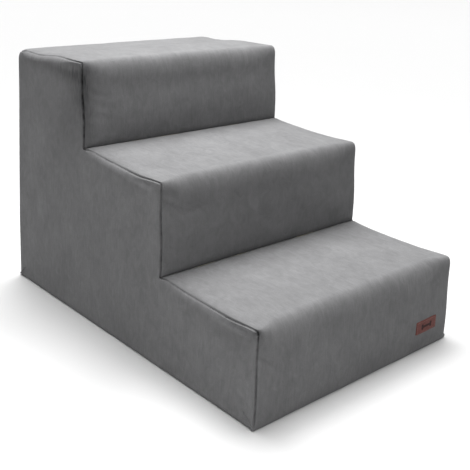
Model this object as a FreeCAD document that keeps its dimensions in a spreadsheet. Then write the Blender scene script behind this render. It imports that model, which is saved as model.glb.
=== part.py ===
"""Three-step foam pet stair with a zip-off fabric cover, as a parametric FreeCAD document.

Frame: +X to the right of someone facing the steps, +Y from the lowest step to the back, +Z up.
The origin is the middle of the footprint, on the floor. Lengths are in millimetres.

Every piece is drawn in the stair's own corner frame, where Y counts from the face of the
lowest riser and X from the middle, and its Placement carries it to the document frame.
"""

import FreeCAD, Part
import math
import os

import Sketcher

# Driving sizes: alias, value, what it is.
SIZES = [
    ("stair_width", 400, "over both side panels"),
    ("step_run", 200, "depth of one step, riser face to riser face"),
    ("step_rise", 133.3, "height of one step, tread to tread"),
    ("nose_radius", 22, "outside of the cloth round a step's front edge"),
    ("cloth_thick", 1.2, "velour cover cloth with its backing"),
    ("base_thick", 2, "anti-slip base cloth, dots included"),
    ("foam_ease", 0.4, "between the cover and the foam on the sides, treads and risers"),
    ("zip_rise", 55, "middle of the zip above the floor"),
    ("tape_width", 16, "one zip tape, from the chain's middle"),
    ("tape_thick", 0.6, "woven zip tape"),
    ("coil_width", 2.6, "one nylon coil, across the zip"),
    ("coil_thick", 2.4, "one nylon coil, through the zip"),
    ("coil_gap", 1.8, "between the two coils, where the slider's post passes"),
    ("coil_round", 1, "rounding of a coil's outer edges"),
    ("zip_inset", 12, "from the side panels to the ends of the zip chain"),
    ("stop_length", 3, "one end stop, along the zip"),
    ("stop_proud", 0.3, "how far an end stop stands out past the coil"),
    ("slide_ease", 0.25, "slider to chain and tape, all round"),
    ("slider_length", 13, "slider casting, along the zip"),
    ("slider_plate", 1.1, "each of the slider's two plates"),
    ("slider_flange", 0.9, "the slider's side walls"),
    ("slider_flare", 1, "how much further out the slider's walls stand at its leading end"),
    ("slider_corner", 1.6, "rounding of the slider's plates"),
    ("fold_ease", 0.85, "slider to the folded edges of the back panels"),
    ("post_length", 2.4, "the slider's post, along the zip"),
    ("post_inset", 1, "from the slider's leading end to its post"),
    ("park_ease", 1, "closed slider to the top stops"),
    ("bail_length", 10, "the slider's bail, along the zip"),
    ("bail_bar", 1, "thickness of the bail's hoop"),
    ("bail_width", 1.8, "the bail, across the zip"),
    ("pull_length", 27, "pull tab, from its pivot to its tip"),
    ("pull_width", 7.4, "pull tab, across its eye"),
    ("pull_waist", 5.6, "pull tab, across the rest"),
    ("pull_thick", 1.3, "pull tab, through"),
    ("pull_play", 0.5, "pull's bar to the bail's hoop and the slider's plate"),
    ("pull_ease", 0.8, "pull's eye to the bail's side and corners"),
    ("label_width", 48, "leather label, across the riser"),
    ("label_height", 20, "leather label, up the riser"),
    ("label_thick", 1.2, "leather label"),
    ("label_inset", 57, "middle of the label from the right side"),
    ("label_rise", 40, "middle of the label above the floor"),
    ("label_corner", 1.5, "rounding of the label's corners"),
    ("stitch_length", 2.2, "one visible stitch"),
    ("stitch_pitch", 3.2, "stitch to stitch"),
    ("stitch_thick", 0.5, "sewing thread"),
    ("stitch_margin", 2, "stitches from the label's edge"),
    ("care_width", 22, "care label, along the zip"),
    ("care_height", 42, "care label, up the back"),
    ("care_thick", 0.4, "folded satin ribbon"),
    ("care_lap", 6, "how far the care label laps the zip tape it is sewn to"),
    ("care_inset", 70, "middle of the care label from the left side"),
]
STEPS = 3

# Sizes that follow from the driving ones, as expressions.
DEPTH = f"({STEPS} * Sizes.step_run)"
HALF_WIDTH = "(Sizes.stair_width / 2)"
INNER_HALF = f"({HALF_WIDTH} - Sizes.cloth_thick)"
TAPE_FACE = f"({DEPTH} - Sizes.cloth_thick)"
COIL_FACE = f"({TAPE_FACE} + Sizes.coil_thick)"
TAPE_BACK = f"({TAPE_FACE} - Sizes.tape_thick)"
REAR_PLATE_Y = f"({TAPE_BACK} - Sizes.slide_ease - Sizes.slider_plate)"
FOAM_BACK_Y = f"({REAR_PLATE_Y} - Sizes.slide_ease)"
FRONT_PLATE_Y = f"({COIL_FACE} + Sizes.slide_ease)"
PLATE_TOP_Y = f"({FRONT_PLATE_Y} + Sizes.slider_plate)"
CHAIN_HALF = f"({INNER_HALF} - Sizes.zip_inset)"
COIL_OUTER = "(Sizes.coil_gap / 2 + Sizes.coil_width)"
SLIDER_INNER = f"({COIL_OUTER} + Sizes.slide_ease)"
SLIDER_OUTER = f"({SLIDER_INNER} + Sizes.slider_flange)"
SLIDER_X = f"({CHAIN_HALF} - Sizes.park_ease - Sizes.slider_length / 2)"
POST_WIDTH = "(Sizes.coil_gap - 2 * Sizes.slide_ease)"
OPENING_HALF = f"({SLIDER_OUTER} + Sizes.slider_flare + Sizes.fold_ease)"
BAIL_WINDOW = "(Sizes.pull_thick + 2 * Sizes.pull_play)"
PIVOT_Y = f"({PLATE_TOP_Y} + {BAIL_WINDOW} / 2)"
# From the pull's pivot to the bail's far corner, plus room, so that the pull can lie either way.
EYE_REACH = (
    f"(sqrt((Sizes.bail_length / 2) ^ 2 + ({BAIL_WINDOW} / 2 + Sizes.bail_bar) ^ 2)"
    " + Sizes.pull_ease)"
)

PLANES = {"XY": "XY_Plane", "XZ": "XZ_Plane", "YZ": "YZ_Plane"}

doc = FreeCAD.newDocument("PetStair")
sheet = doc.addObject("Spreadsheet::Sheet", "Sizes")


def fill_sheet():
    """One row per driving size: its name, its value and what it is."""
    for row, (alias, amount, meaning) in enumerate(SIZES, start=1):
        sheet.set(f"A{row}", alias)
        sheet.set(f"B{row}", str(amount))
        sheet.set(f"C{row}", meaning)
        sheet.setAlias(f"B{row}", alias)
    doc.recompute()


def value(expression):
    """An expression's value in millimetres, from the sheet as it stands."""
    return float(sheet.evalExpression(str(expression).replace("Sizes.", "")))


# ---------------------------------------------------------------- drawing helpers


def new_body(label, lift=("0", "0", "0")):
    """An empty PartDesign body, carried from the corner frame by lift, three expressions."""
    body = doc.addObject("PartDesign::Body", label)
    body.Label = label
    place(body, lift)
    return body


def place(piece, lift=("0", "0", "0")):
    """Binds a piece's Placement: lift in the corner frame, and half the depth back to the origin."""
    x, y, z = lift
    piece.setExpression(".Placement.Base.x", x)
    piece.setExpression(".Placement.Base.y", f"{y} - {DEPTH} / 2")
    piece.setExpression(".Placement.Base.z", z)


def corner_ease(before, corner, after, radius):
    """Where a rounded corner leaves its two sides, and its arc's middle. A square one stays put."""
    if not radius:
        return corner, None, corner
    back = (before - corner).normalize()
    ahead = (after - corner).normalize()
    half = back.getAngle(ahead) / 2
    reach = radius / math.tan(half)
    to_centre = (back + ahead).normalize()
    middle = corner + to_centre * (radius / math.sin(half) - radius)
    return corner + back * reach, middle, corner + ahead * reach


def outline(body, name, plane, corners, level="0"):
    """A closed sketch through corners, each (across, up) or (across, up, radius) in expressions.

    level is the sketch plane's place along its world axis. Each corner is tied to the sketch's
    origin, and a rounded one is an arc tangent to its two sides.
    """
    sketch = body.newObject("Sketcher::SketchObject", name)
    origin_plane = next(o for o in body.Origin.OriginFeatures if o.Role == PLANES[plane])
    sketch.AttachmentSupport = [(origin_plane, "")]
    sketch.MapMode = "FlatFace"
    toward_viewer = "-" if plane == "XZ" else ""
    sketch.setExpression(".AttachmentOffset.Base.z", f"{toward_viewer}({level})")

    points = [FreeCAD.Vector(value(c[0]), value(c[1]), 0) for c in corners]
    radii = [value(c[2]) if len(c) > 2 else 0 for c in corners]
    count = len(corners)
    eased = [
        corner_ease(points[i - 1], points[i], points[(i + 1) % count], radii[i])
        for i in range(count)
    ]
    for i in range(count):
        run = Part.LineSegment(eased[i][2], eased[(i + 1) % count][0])
        sketch.addGeometry(run, False)
    for i, (across, up, *radius) in enumerate(corners):
        line_in, line_out = (i - 1) % count, i
        if radius:
            arc = sketch.addGeometry(Part.Arc(*eased[i]), False)
            held = sketch.addGeometry(Part.Point(points[i]), True)
            turn = (points[i] - points[i - 1]).cross(points[(i + 1) % count] - points[i])
            first, last = (1, 2) if turn.z > 0 else (2, 1)
            sketch.addConstraint(Sketcher.Constraint("Tangent", line_in, 2, arc, first))
            sketch.addConstraint(Sketcher.Constraint("Tangent", arc, last, line_out, 1))
            sketch.addConstraint(Sketcher.Constraint("PointOnObject", held, 1, line_in))
            sketch.addConstraint(Sketcher.Constraint("PointOnObject", held, 1, line_out))
            bind(sketch, ("Radius", arc), radii[i], radius[0])
        else:
            held = line_out
            sketch.addConstraint(Sketcher.Constraint("Coincident", line_in, 2, line_out, 1))
        bind(sketch, ("DistanceX", -1, 1, held, 1), points[i].x, across)
        bind(sketch, ("DistanceY", -1, 1, held, 1), points[i].y, up)
    return sketch


def bind(sketch, constraint, now, expression):
    """Adds one dimension to a sketch and ties it to an expression."""
    index = sketch.addConstraint(Sketcher.Constraint(*constraint, now))
    sketch.setExpression(f"Constraints[{index}]", expression)


def pad(body, name, sketch, length, symmetric=False):
    """Pads a sketch towards +X, +Y or +Z, or half each way."""
    feature = body.newObject("PartDesign::Pad", name)
    feature.Profile = sketch
    feature.setExpression("Length", length)
    feature.SideType = "Symmetric" if symmetric else "One side"
    on_xz = sketch.AttachmentSupport[0][0].Role == PLANES["XZ"]
    feature.Reversed = on_xz and not symmetric
    return feature


def slab(body, name, plane, corners, start, length):
    """Material of one outline, from start to start + length along the plane's world axis."""
    return pad(body, name, outline(body, name + "Outline", plane, corners, start), length)


def pocket_through(body, name, sketch):
    """Cuts a sketch right through the body both ways, and checks that it took something."""
    doc.recompute()
    before = body.Shape.Volume
    feature = body.newObject("PartDesign::Pocket", name)
    feature.Profile = sketch
    feature.Type = "ThroughAll"
    feature.SideType = "Symmetric"
    doc.recompute()
    if not body.Shape.Volume < before:
        raise RuntimeError(f"{name} cut nothing from {body.Label}")
    return feature


def rectangle(left, bottom, right, top, radius=None):
    """Four corners, anticlockwise, with the same rounding."""
    corners = [(left, bottom), (right, bottom), (right, top), (left, top)]
    return [(*c, radius) for c in corners] if radius else corners


def round_bar(body, name, radius, length):
    """A round bar along Z through the body's origin, half its length each way."""
    bar = body.newObject("PartDesign::AdditiveCylinder", name)
    floor_plane = next(o for o in body.Origin.OriginFeatures if o.Role == PLANES["XY"])
    bar.AttachmentSupport = [(floor_plane, "")]
    bar.MapMode = "FlatFace"
    bar.setExpression("Radius", radius)
    bar.setExpression("Height", length)
    bar.setExpression(".AttachmentOffset.Base.z", f"-({length}) / 2")
    return bar


def block(name, low, size):
    """A Part box from its low corner and its three sizes, all expressions in the corner frame."""
    box = doc.addObject("Part::Box", name)
    for side, expression in zip(("Length", "Width", "Height"), size):
        box.setExpression(side, expression)
    for axis, expression in zip("xyz", low):
        box.setExpression(f".Placement.Base.{axis}", expression)
    return box


def group(label, members):
    """Several separate solids under one name."""
    compound = doc.addObject("Part::Compound", label)
    compound.Label = label
    compound.Links = members
    place(compound)
    return compound


# ---------------------------------------------------------------- foam core


def tread(step):
    """Height of the top of a step's cloth, counting steps from 1."""
    return f"({step} * Sizes.step_rise)"


def foam_top(step):
    """Height of the top of a step's foam."""
    return f"({tread(step)} - Sizes.cloth_thick - Sizes.foam_ease)"


def foam_slab(label, step):
    """One glued slab, from behind its riser to the back, with the nose cut round."""
    body = new_body(label)
    front = f"({step - 1} * Sizes.step_run + Sizes.cloth_thick + Sizes.foam_ease)"
    bottom = "Sizes.base_thick" if step == 1 else foam_top(step - 1)
    nose = "(Sizes.nose_radius - Sizes.cloth_thick - Sizes.foam_ease)"
    corners = [
        (front, bottom),
        (FOAM_BACK_Y, bottom),
        (FOAM_BACK_Y, foam_top(step)),
        (front, foam_top(step), nose),
    ]
    side = outline(body, "SlabSide", "YZ", corners)
    pad(body, "Slab", side, f"2 * ({INNER_HALF} - Sizes.foam_ease)", symmetric=True)
    return body


# ---------------------------------------------------------------- cover


def side_panel(label, right):
    """The stair-shaped side of the cover, standing on the base cloth."""
    start = INNER_HALF if right else f"-{HALF_WIDTH}"
    body = new_body(label)
    corners = [(DEPTH, "Sizes.base_thick"), (DEPTH, tread(STEPS))]
    for step in range(STEPS, 0, -1):
        riser = f"({step - 1} * Sizes.step_run)"
        foot = tread(step - 1) if step > 1 else "Sizes.base_thick"
        corners.append((riser, tread(step), "Sizes.nose_radius"))
        corners.append((riser, foot))
    slab(body, "Panel", "YZ", corners, start, "Sizes.cloth_thick")
    return body


def step_panel(label, step):
    """One step's cloth: up its riser, round the nose and back along its tread.

    A tread runs on under the next riser's cloth, which is sewn to its end.
    """
    body = new_body(label)
    riser = f"({step - 1} * Sizes.step_run)"
    inside = f"({riser} + Sizes.cloth_thick)"
    foot = tread(step - 1) if step > 1 else "Sizes.base_thick"
    end = DEPTH if step == STEPS else f"({step} * Sizes.step_run + Sizes.cloth_thick)"
    under = f"({tread(step)} - Sizes.cloth_thick)"
    corners = [
        (riser, foot),
        (inside, foot),
        (inside, under, "(Sizes.nose_radius - Sizes.cloth_thick)"),
        (end, under),
        (end, tread(step)),
        (riser, tread(step), "Sizes.nose_radius"),
    ]
    side = outline(body, "PanelSide", "YZ", corners)
    pad(body, "Panel", side, f"2 * {INNER_HALF}", symmetric=True)
    return body


def back_panel(label, upper):
    """The back of the cover, above or below the zip."""
    body = new_body(label)
    if upper:
        low = f"(Sizes.zip_rise + {OPENING_HALF})"
        high = f"({tread(STEPS)} - Sizes.cloth_thick)"
    else:
        low = "Sizes.base_thick"
        high = f"(Sizes.zip_rise - {OPENING_HALF})"
    corners = rectangle(f"-{INNER_HALF}", low, INNER_HALF, high)
    slab(body, "Panel", "XZ", corners, TAPE_FACE, "Sizes.cloth_thick")
    return body


def base_panel(label):
    """The anti-slip base cloth, under the whole footprint."""
    body = new_body(label)
    corners = rectangle(f"-{HALF_WIDTH}", "0", HALF_WIDTH, DEPTH)
    slab(body, "Panel", "XY", corners, "0", "Sizes.base_thick")
    return body


# ---------------------------------------------------------------- zip


def across_zip(upper, near, far):
    """A band's two heights, near and far from the chain's middle, above or below it."""
    if upper:
        return f"(Sizes.zip_rise + {near})", f"(Sizes.zip_rise + {far})"
    return f"(Sizes.zip_rise - {far})", f"(Sizes.zip_rise - {near})"


def zip_tape(label, upper):
    """One woven tape, sewn behind its back panel from side to side."""
    body = new_body(label)
    low, high = across_zip(upper, "Sizes.coil_gap / 2", "Sizes.tape_width")
    corners = rectangle(f"-{INNER_HALF}", low, INNER_HALF, high)
    slab(body, "Tape", "XZ", corners, TAPE_BACK, "Sizes.tape_thick")
    return body


def zip_coil(label, upper):
    """One nylon coil, as the bar that its turns fill, on its tape's outer face."""
    body = new_body(label)
    low, high = across_zip(upper, "Sizes.coil_gap / 2", COIL_OUTER)
    corners = [
        (TAPE_FACE, low),
        (COIL_FACE, low, "Sizes.coil_round"),
        (COIL_FACE, high, "Sizes.coil_round"),
        (TAPE_FACE, high),
    ]
    section = outline(body, "CoilSection", "YZ", corners)
    pad(body, "Coil", section, f"2 * {CHAIN_HALF}", symmetric=True)
    return body


def zip_top_stops(label):
    """The two small clamps that end the chain where it closes, one on each tape."""
    stops = []
    for name, upper in (("UpperStop", True), ("LowerStop", False)):
        low, high = across_zip(upper, "Sizes.coil_gap / 2", COIL_OUTER)
        size = ("Sizes.stop_length", "Sizes.coil_thick + Sizes.stop_proud", f"{high} - {low}")
        stops.append(block(name, (CHAIN_HALF, TAPE_FACE, low), size))
    return group(label, stops)


def zip_bottom_stop(label):
    """The clamp that joins both tapes at the other end."""
    body = new_body(label)
    corners = rectangle(
        f"-{CHAIN_HALF} - Sizes.stop_length",
        f"Sizes.zip_rise - {COIL_OUTER}",
        f"-{CHAIN_HALF}",
        f"Sizes.zip_rise + {COIL_OUTER}",
    )
    slab(body, "Stop", "XZ", corners, TAPE_FACE, "Sizes.coil_thick + Sizes.stop_proud")
    return body


def zip_slider(label):
    """The slider casting, parked at the closed end: two plates, post, side walls and bail."""
    body = new_body(label, (SLIDER_X, "0", "Sizes.zip_rise"))
    half = "Sizes.slider_length / 2"
    lead = f"({half} - Sizes.post_inset)"
    slab(body, "FrontPlate", "XZ", slider_plate(), FRONT_PLATE_Y, "Sizes.slider_plate")
    post = rectangle(f"{lead} - Sizes.post_length", f"-{POST_WIDTH} / 2", lead, f"{POST_WIDTH} / 2")
    slab(body, "Post", "XZ", post, REAR_PLATE_Y, f"{FRONT_PLATE_Y} - {REAR_PLATE_Y}")
    slab(body, "RearPlate", "XZ", slider_plate(), REAR_PLATE_Y, "Sizes.slider_plate")
    foot = f"({TAPE_FACE} + Sizes.slide_ease)"
    for name, side in (("UpperWall", ""), ("LowerWall", "-")):
        slab(body, name, "XZ", slider_wall(side), foot, f"{FRONT_PLATE_Y} - {foot}")
    hoop = rectangle(
        "-Sizes.bail_length / 2",
        f"{PLATE_TOP_Y} - Sizes.slider_plate / 2",
        "Sizes.bail_length / 2",
        f"{PLATE_TOP_Y} + {BAIL_WINDOW} + Sizes.bail_bar",
    )
    hoop = hoop[:2] + [(*corner, "1.5 * Sizes.bail_bar") for corner in hoop[2:]]
    pad(body, "Bail", outline(body, "BailSide", "XY", hoop), "Sizes.bail_width", symmetric=True)
    window_half = "(Sizes.bail_length / 2 - Sizes.bail_bar)"
    window_top = f"{PLATE_TOP_Y} + {BAIL_WINDOW}"
    window = rectangle(f"-{window_half}", PLATE_TOP_Y, window_half, window_top)
    window = window[:2] + [(*corner, "Sizes.bail_bar / 2") for corner in window[2:]]
    pocket_through(body, "BailWindow", outline(body, "WindowSide", "XY", window))
    return body


def slider_plate():
    """A plate's outline: straight over its tail, then flared to its leading end at +X."""
    half = "Sizes.slider_length / 2"
    head = f"({SLIDER_OUTER} + Sizes.slider_flare)"
    return [
        (f"-{half}", f"-{SLIDER_OUTER}", "Sizes.slider_corner"),
        ("0", f"-{SLIDER_OUTER}"),
        (half, f"-{head}", "Sizes.slider_corner"),
        (half, head, "Sizes.slider_corner"),
        ("0", SLIDER_OUTER),
        (f"-{half}", SLIDER_OUTER, "Sizes.slider_corner"),
    ]


def slider_wall(side):
    """One side wall's outline, flared as the plates are, up to where their corners round off."""
    straight = "(Sizes.slider_length / 2 - Sizes.slider_corner)"
    flare = f"(Sizes.slider_flare * {straight} / (Sizes.slider_length / 2))"
    return [
        (f"-{straight}", f"{side}{SLIDER_INNER}"),
        ("0", f"{side}{SLIDER_INNER}"),
        (straight, f"{side}({SLIDER_INNER} + {flare})"),
        (straight, f"{side}({SLIDER_OUTER} + {flare})"),
        ("0", f"{side}{SLIDER_OUTER}"),
        (f"-{straight}", f"{side}{SLIDER_OUTER}"),
    ]


def zip_pull(label):
    """The pull tab, lying back along the closed chain from the round bar in the bail."""
    body = new_body(label, (SLIDER_X, PIVOT_Y, "Sizes.zip_rise"))
    head = "Sizes.pull_width / 2"
    waist = "Sizes.pull_waist / 2"
    shoulder = f"(-{EYE_REACH} - Sizes.pull_thick)"
    tip = "-Sizes.pull_length"
    tip_round = "(0.75 * Sizes.pull_waist / 2)"
    corners = [
        ("0", f"-{head}"),
        ("0", head),
        (shoulder, head),
        (f"{shoulder} - Sizes.pull_thick", waist),
        (tip, waist, tip_round),
        (tip, f"-{waist}", tip_round),
        (f"{shoulder} - Sizes.pull_thick", f"-{waist}"),
        (shoulder, f"-{head}"),
    ]
    slab(body, "Tab", "XZ", corners, "-Sizes.pull_thick / 2", "Sizes.pull_thick")
    eye_half = "(Sizes.bail_width / 2 + Sizes.pull_ease)"
    eye = rectangle(f"-{EYE_REACH}", f"-{eye_half}", "0", eye_half)
    pocket_through(body, "Eye", outline(body, "EyeOutline", "XZ", eye))
    round_bar(body, "PivotBar", "Sizes.pull_thick / 2", "Sizes.pull_width")
    return body


# ---------------------------------------------------------------- labels


def label_patch(label):
    """The leather label on the lowest riser."""
    body = new_body(label, (f"{HALF_WIDTH} - Sizes.label_inset", "0", "Sizes.label_rise"))
    corners = rectangle(
        "-Sizes.label_width / 2",
        "-Sizes.label_height / 2",
        "Sizes.label_width / 2",
        "Sizes.label_height / 2",
        "Sizes.label_corner",
    )
    slab(body, "Patch", "XZ", corners, "-Sizes.label_thick", "Sizes.label_thick")
    return body


def label_thread(label):
    """The stitches that show on the label, in one row inside each edge."""
    stitches = []
    for edge, side in (("Bottom", -1), ("Top", 1)):
        off = f"{side} * (Sizes.label_height / 2 - Sizes.stitch_margin)"
        for k, along in stitch_places("Sizes.label_width"):
            size = ("Sizes.stitch_length", "Sizes.stitch_thick")
            stitches.append(stitch(f"{edge}Stitch{k}", along, off, *size))
    for edge, side in (("Left", -1), ("Right", 1)):
        off = f"{side} * (Sizes.label_width / 2 - Sizes.stitch_margin)"
        for k, along in stitch_places("Sizes.label_height"):
            size = ("Sizes.stitch_thick", "Sizes.stitch_length")
            stitches.append(stitch(f"{edge}Stitch{k}", off, along, *size))
    return group(label, stitches)


def stitch_places(side):
    """Number and place of each stitch along a side of the label, clear of its corners."""
    row = value(side) - 4 * value("Sizes.stitch_margin")
    count = int(row // value("Sizes.stitch_pitch")) + 1
    return [(k, f"({k} - {(count - 1) / 2}) * Sizes.stitch_pitch") for k in range(count)]


def stitch(name, across, up, width, height):
    """One stitch on the label's face, centred across and up from the label's middle."""
    low = (
        f"{HALF_WIDTH} - Sizes.label_inset + {across} - {width} / 2",
        "-Sizes.label_thick - Sizes.stitch_thick",
        f"Sizes.label_rise + {up} - {height} / 2",
    )
    return block(name, low, (width, "Sizes.stitch_thick", height))


def care_label(label):
    """The blank care label inside the back, sewn to the upper tape's top edge."""
    body = new_body(label, (f"-{HALF_WIDTH} + Sizes.care_inset", "0", "Sizes.zip_rise"))
    low = "(Sizes.tape_width - Sizes.care_lap)"
    corners = rectangle(
        "-Sizes.care_width / 2", low, "Sizes.care_width / 2", f"{low} + Sizes.care_height"
    )
    slab(body, "Ribbon", "XZ", corners, f"{TAPE_BACK} - Sizes.care_thick", "Sizes.care_thick")
    return body


# ---------------------------------------------------------------- the whole stair


def build_pieces():
    """Every sub-part of the stair."""
    steps = list(enumerate(("lower", "middle", "upper"), start=1))
    pieces = [foam_slab(f"foam_slab_{word}", step) for step, word in steps]
    pieces += [step_panel(f"step_panel_{word}", step) for step, word in steps]
    for word, right in (("left", False), ("right", True)):
        pieces.append(side_panel(f"side_panel_{word}", right))
    for word, upper in (("upper", True), ("lower", False)):
        pieces.append(back_panel(f"back_panel_{word}", upper))
        pieces.append(zip_tape(f"zip_tape_{word}", upper))
        pieces.append(zip_coil(f"zip_coil_{word}", upper))
    pieces += [
        base_panel("base_panel"),
        zip_top_stops("zip_top_stops"),
        zip_bottom_stop("zip_bottom_stop"),
        zip_slider("zip_slider"),
        zip_pull("zip_pull"),
        label_patch("label_patch"),
        label_thread("label_thread"),
        care_label("care_label"),
    ]
    return pieces


def check(pieces):
    """Stops the build if any object failed or any piece has no sound shape."""
    failed = [o.Label for o in doc.Objects if {"Invalid", "Error"} & set(o.State)]
    if failed:
        raise RuntimeError(f"these objects failed to build: {failed}")
    for piece in pieces:
        if piece.Shape.isNull() or not piece.Shape.isValid() or not piece.Shape.Solids:
            raise RuntimeError(f"{piece.Label} has no valid solid")


def write(pieces):
    """One STEP file per piece, and a line on each."""
    os.makedirs("parts", exist_ok=True)
    for piece in pieces:
        piece.Shape.exportStep(f"parts/{piece.Label}.step")
        box = piece.Shape.BoundBox
        size = f"{box.XLength:.1f} x {box.YLength:.1f} x {box.ZLength:.1f}"
        print(f"{piece.Label}: {len(piece.Shape.Solids)} solid(s), {size} mm")


fill_sheet()
stair = build_pieces()
doc.recompute()
check(stair)
write(stair)
travel = value(f"2 * {CHAIN_HALF} - Sizes.slider_length - 2 * Sizes.park_ease")
print(f"zip travel {travel:.2f}, pivot x {value(SLIDER_X):.3f}")
print(f"pivot y {value(PIVOT_Y) - value(DEPTH) / 2:.3f}, zip height {value('Sizes.zip_rise'):.2f}")
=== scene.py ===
# %% [markdown]
# # A foam pet stair in a zip-off cover
# The real object is three glued slabs of foam in a fitted velour cover. The cover closes with a
# zip along the back, stands on an anti-slip base cloth and carries a small leather label.
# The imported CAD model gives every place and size; this file makes the cloth, foam, zip chain,
# stitches and finishes around it.

import math

import bpy
import numpy as np
from mathutils import Matrix, Vector


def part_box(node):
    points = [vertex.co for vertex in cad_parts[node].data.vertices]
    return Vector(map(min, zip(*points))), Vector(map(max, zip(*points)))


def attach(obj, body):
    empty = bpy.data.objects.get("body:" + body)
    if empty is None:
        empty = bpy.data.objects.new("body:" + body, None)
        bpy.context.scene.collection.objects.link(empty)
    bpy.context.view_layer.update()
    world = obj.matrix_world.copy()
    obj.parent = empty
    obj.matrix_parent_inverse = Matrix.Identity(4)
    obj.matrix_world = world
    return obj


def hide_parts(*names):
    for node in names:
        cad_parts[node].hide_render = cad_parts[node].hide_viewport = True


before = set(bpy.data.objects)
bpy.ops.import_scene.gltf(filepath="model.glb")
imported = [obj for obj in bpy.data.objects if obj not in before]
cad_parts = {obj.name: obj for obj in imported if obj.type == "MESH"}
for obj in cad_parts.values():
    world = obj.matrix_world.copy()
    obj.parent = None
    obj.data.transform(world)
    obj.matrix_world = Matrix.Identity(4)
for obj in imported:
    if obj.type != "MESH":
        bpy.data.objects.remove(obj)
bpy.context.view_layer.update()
STAIR = "cover_and_core"
MM = 0.001

# %% [markdown]
# ## Sizes
# Everything is placed from the CAD nodes' own boxes, so the cloth follows the model if a size
# changes. A step is known by its riser's face, its tread's height and where it ends.

# %% Read the stair's sizes from the frame
STEP_NAMES = ("lower", "middle", "upper")
BASE_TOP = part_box("base_panel")[1].z
BACK_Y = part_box("back_panel_upper")[1].y
HALF_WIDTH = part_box("side_panel_right")[1].x
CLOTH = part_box("side_panel_right")[1].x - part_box("side_panel_right")[0].x
ZIP_Z = (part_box("zip_coil_lower")[1].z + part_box("zip_coil_upper")[0].z) / 2
RISER_Y = [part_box(f"step_panel_{name}")[0].y for name in STEP_NAMES]
TREAD_Z = [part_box(f"step_panel_{name}")[1].z for name in STEP_NAMES]
FOOT_Z, END_Y = [BASE_TOP, *TREAD_Z[:2]], [*RISER_Y[1:], BACK_Y]
RISE = [top - foot for top, foot in zip(TREAD_Z, FOOT_Z)]
RUN = [end - front for end, front in zip(END_Y, RISER_Y)]
print("risers", [round(y, 3) for y in RISER_Y], "treads", [round(z, 3) for z in TREAD_Z])

# %% [markdown]
# ## Helpers for surfaces
# Each piece of cloth is a grid of points worked out as whole arrays: two parameters go in and
# the grid's points come out. A smoothstep eases one value into the next without a kink, and
# bunched() puts more rows near the two ends, where the seams are.

# %% Helpers: easing and spacing


def smooth(t):
    """Smoothstep: 3t^2 - 2t^3 between 0 and 1, flat at both ends."""
    t = np.clip(t, 0, 1)
    return t * t * (3 - 2 * t)


def bell(distance, width=1.0):
    """1 at no distance, falling off as exp(-(distance / width)^2)."""
    return np.exp(-((distance / width) ** 2))


def bunched(count, tight=0.75):
    """count values from 0 to 1, closer together towards both ends: t - tight sin(2 pi t) / 2 pi."""
    t = np.linspace(0, 1, count)
    return t - tight * np.sin(2 * np.pi * t) / (2 * np.pi)


def ripple(position, waves, seed):
    """A wandering wave of height about 1: sines of the given wavelengths with random phases."""
    rng = np.random.default_rng(seed)
    total = np.zeros_like(position)
    for wave in waves:
        total += np.sin(2 * np.pi * (position / wave + rng.random())) * rng.uniform(0.6, 1)
    return total / len(waves)


# %% Helpers: grids of points


def from_side(u, v=0.0):
    """Distance from the nearer side seam, for u from -1 at the left seam to 1 at the right."""
    return (1 - np.abs(u)) * HALF_WIDTH + 0 * v


def stacked(*parts):
    """Coordinates of different shapes, spread over one grid and joined as points."""
    return np.stack(np.broadcast_arrays(*parts), -1)


def along_grid(points, axis):
    """Distance travelled along one direction of a grid, starting at 0."""
    step = np.linalg.norm(np.diff(points, axis=axis), axis=-1)
    total = np.cumsum(step, axis=axis)
    return np.concatenate([np.zeros_like(np.take(total, [0], axis)), total], axis)


def grid_normals(points):
    """Unit normals of a grid: the cross product of its differences along columns and rows."""
    normal = np.cross(np.gradient(points, axis=1), np.gradient(points, axis=0))
    return normal / np.maximum(np.linalg.norm(normal, axis=-1, keepdims=True), 1e-12)


def sample_grid(values, rows, cols, v, u):
    """Values of a grid whose rows and columns stand at the given parameters, read at v and u by
    bilinear interpolation: (1-s)(1-t) a + (1-s) t b + s (1-t) c + s t d."""
    i = np.interp(v, rows, np.arange(len(rows)))
    j = np.interp(u, cols, np.arange(len(cols)))
    row, col = np.minimum(i.astype(int), len(rows) - 2), np.minimum(j.astype(int), len(cols) - 2)
    s, t = (i - row)[..., None], (j - col)[..., None]
    near = values[row, col] * (1 - t) + values[row, col + 1] * t
    far = values[row + 1, col] * (1 - t) + values[row + 1, col + 1] * t
    return near * (1 - s) + far * s


# %% Helpers: from a grid to a Blender object


def quads_of(numbers):
    """Quads between the rows and columns of a grid of point numbers."""
    corners = numbers[:-1, :-1], numbers[:-1, 1:], numbers[1:, 1:], numbers[1:, :-1]
    return np.stack(corners, -1).reshape(-1, 4)


def grid_faces(rows, cols):
    """Quads of a rows by cols grid, as point numbers."""
    return quads_of(np.arange(rows * cols).reshape(rows, cols))


def ring_faces(rows, sides):
    """Quads between rings of points, one ring after another."""
    numbers = np.arange(rows * sides).reshape(rows, sides)
    return quads_of(np.concatenate([numbers, numbers[:, :1]], 1))


def flat_map(points, start=(0.0, 0.0)):
    """A UV map in metres: distance across from the middle and distance along the cloth."""
    across = along_grid(points, 1)
    return np.stack([across - across[:, -1:] / 2, along_grid(points, 0)], -1) + start


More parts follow.
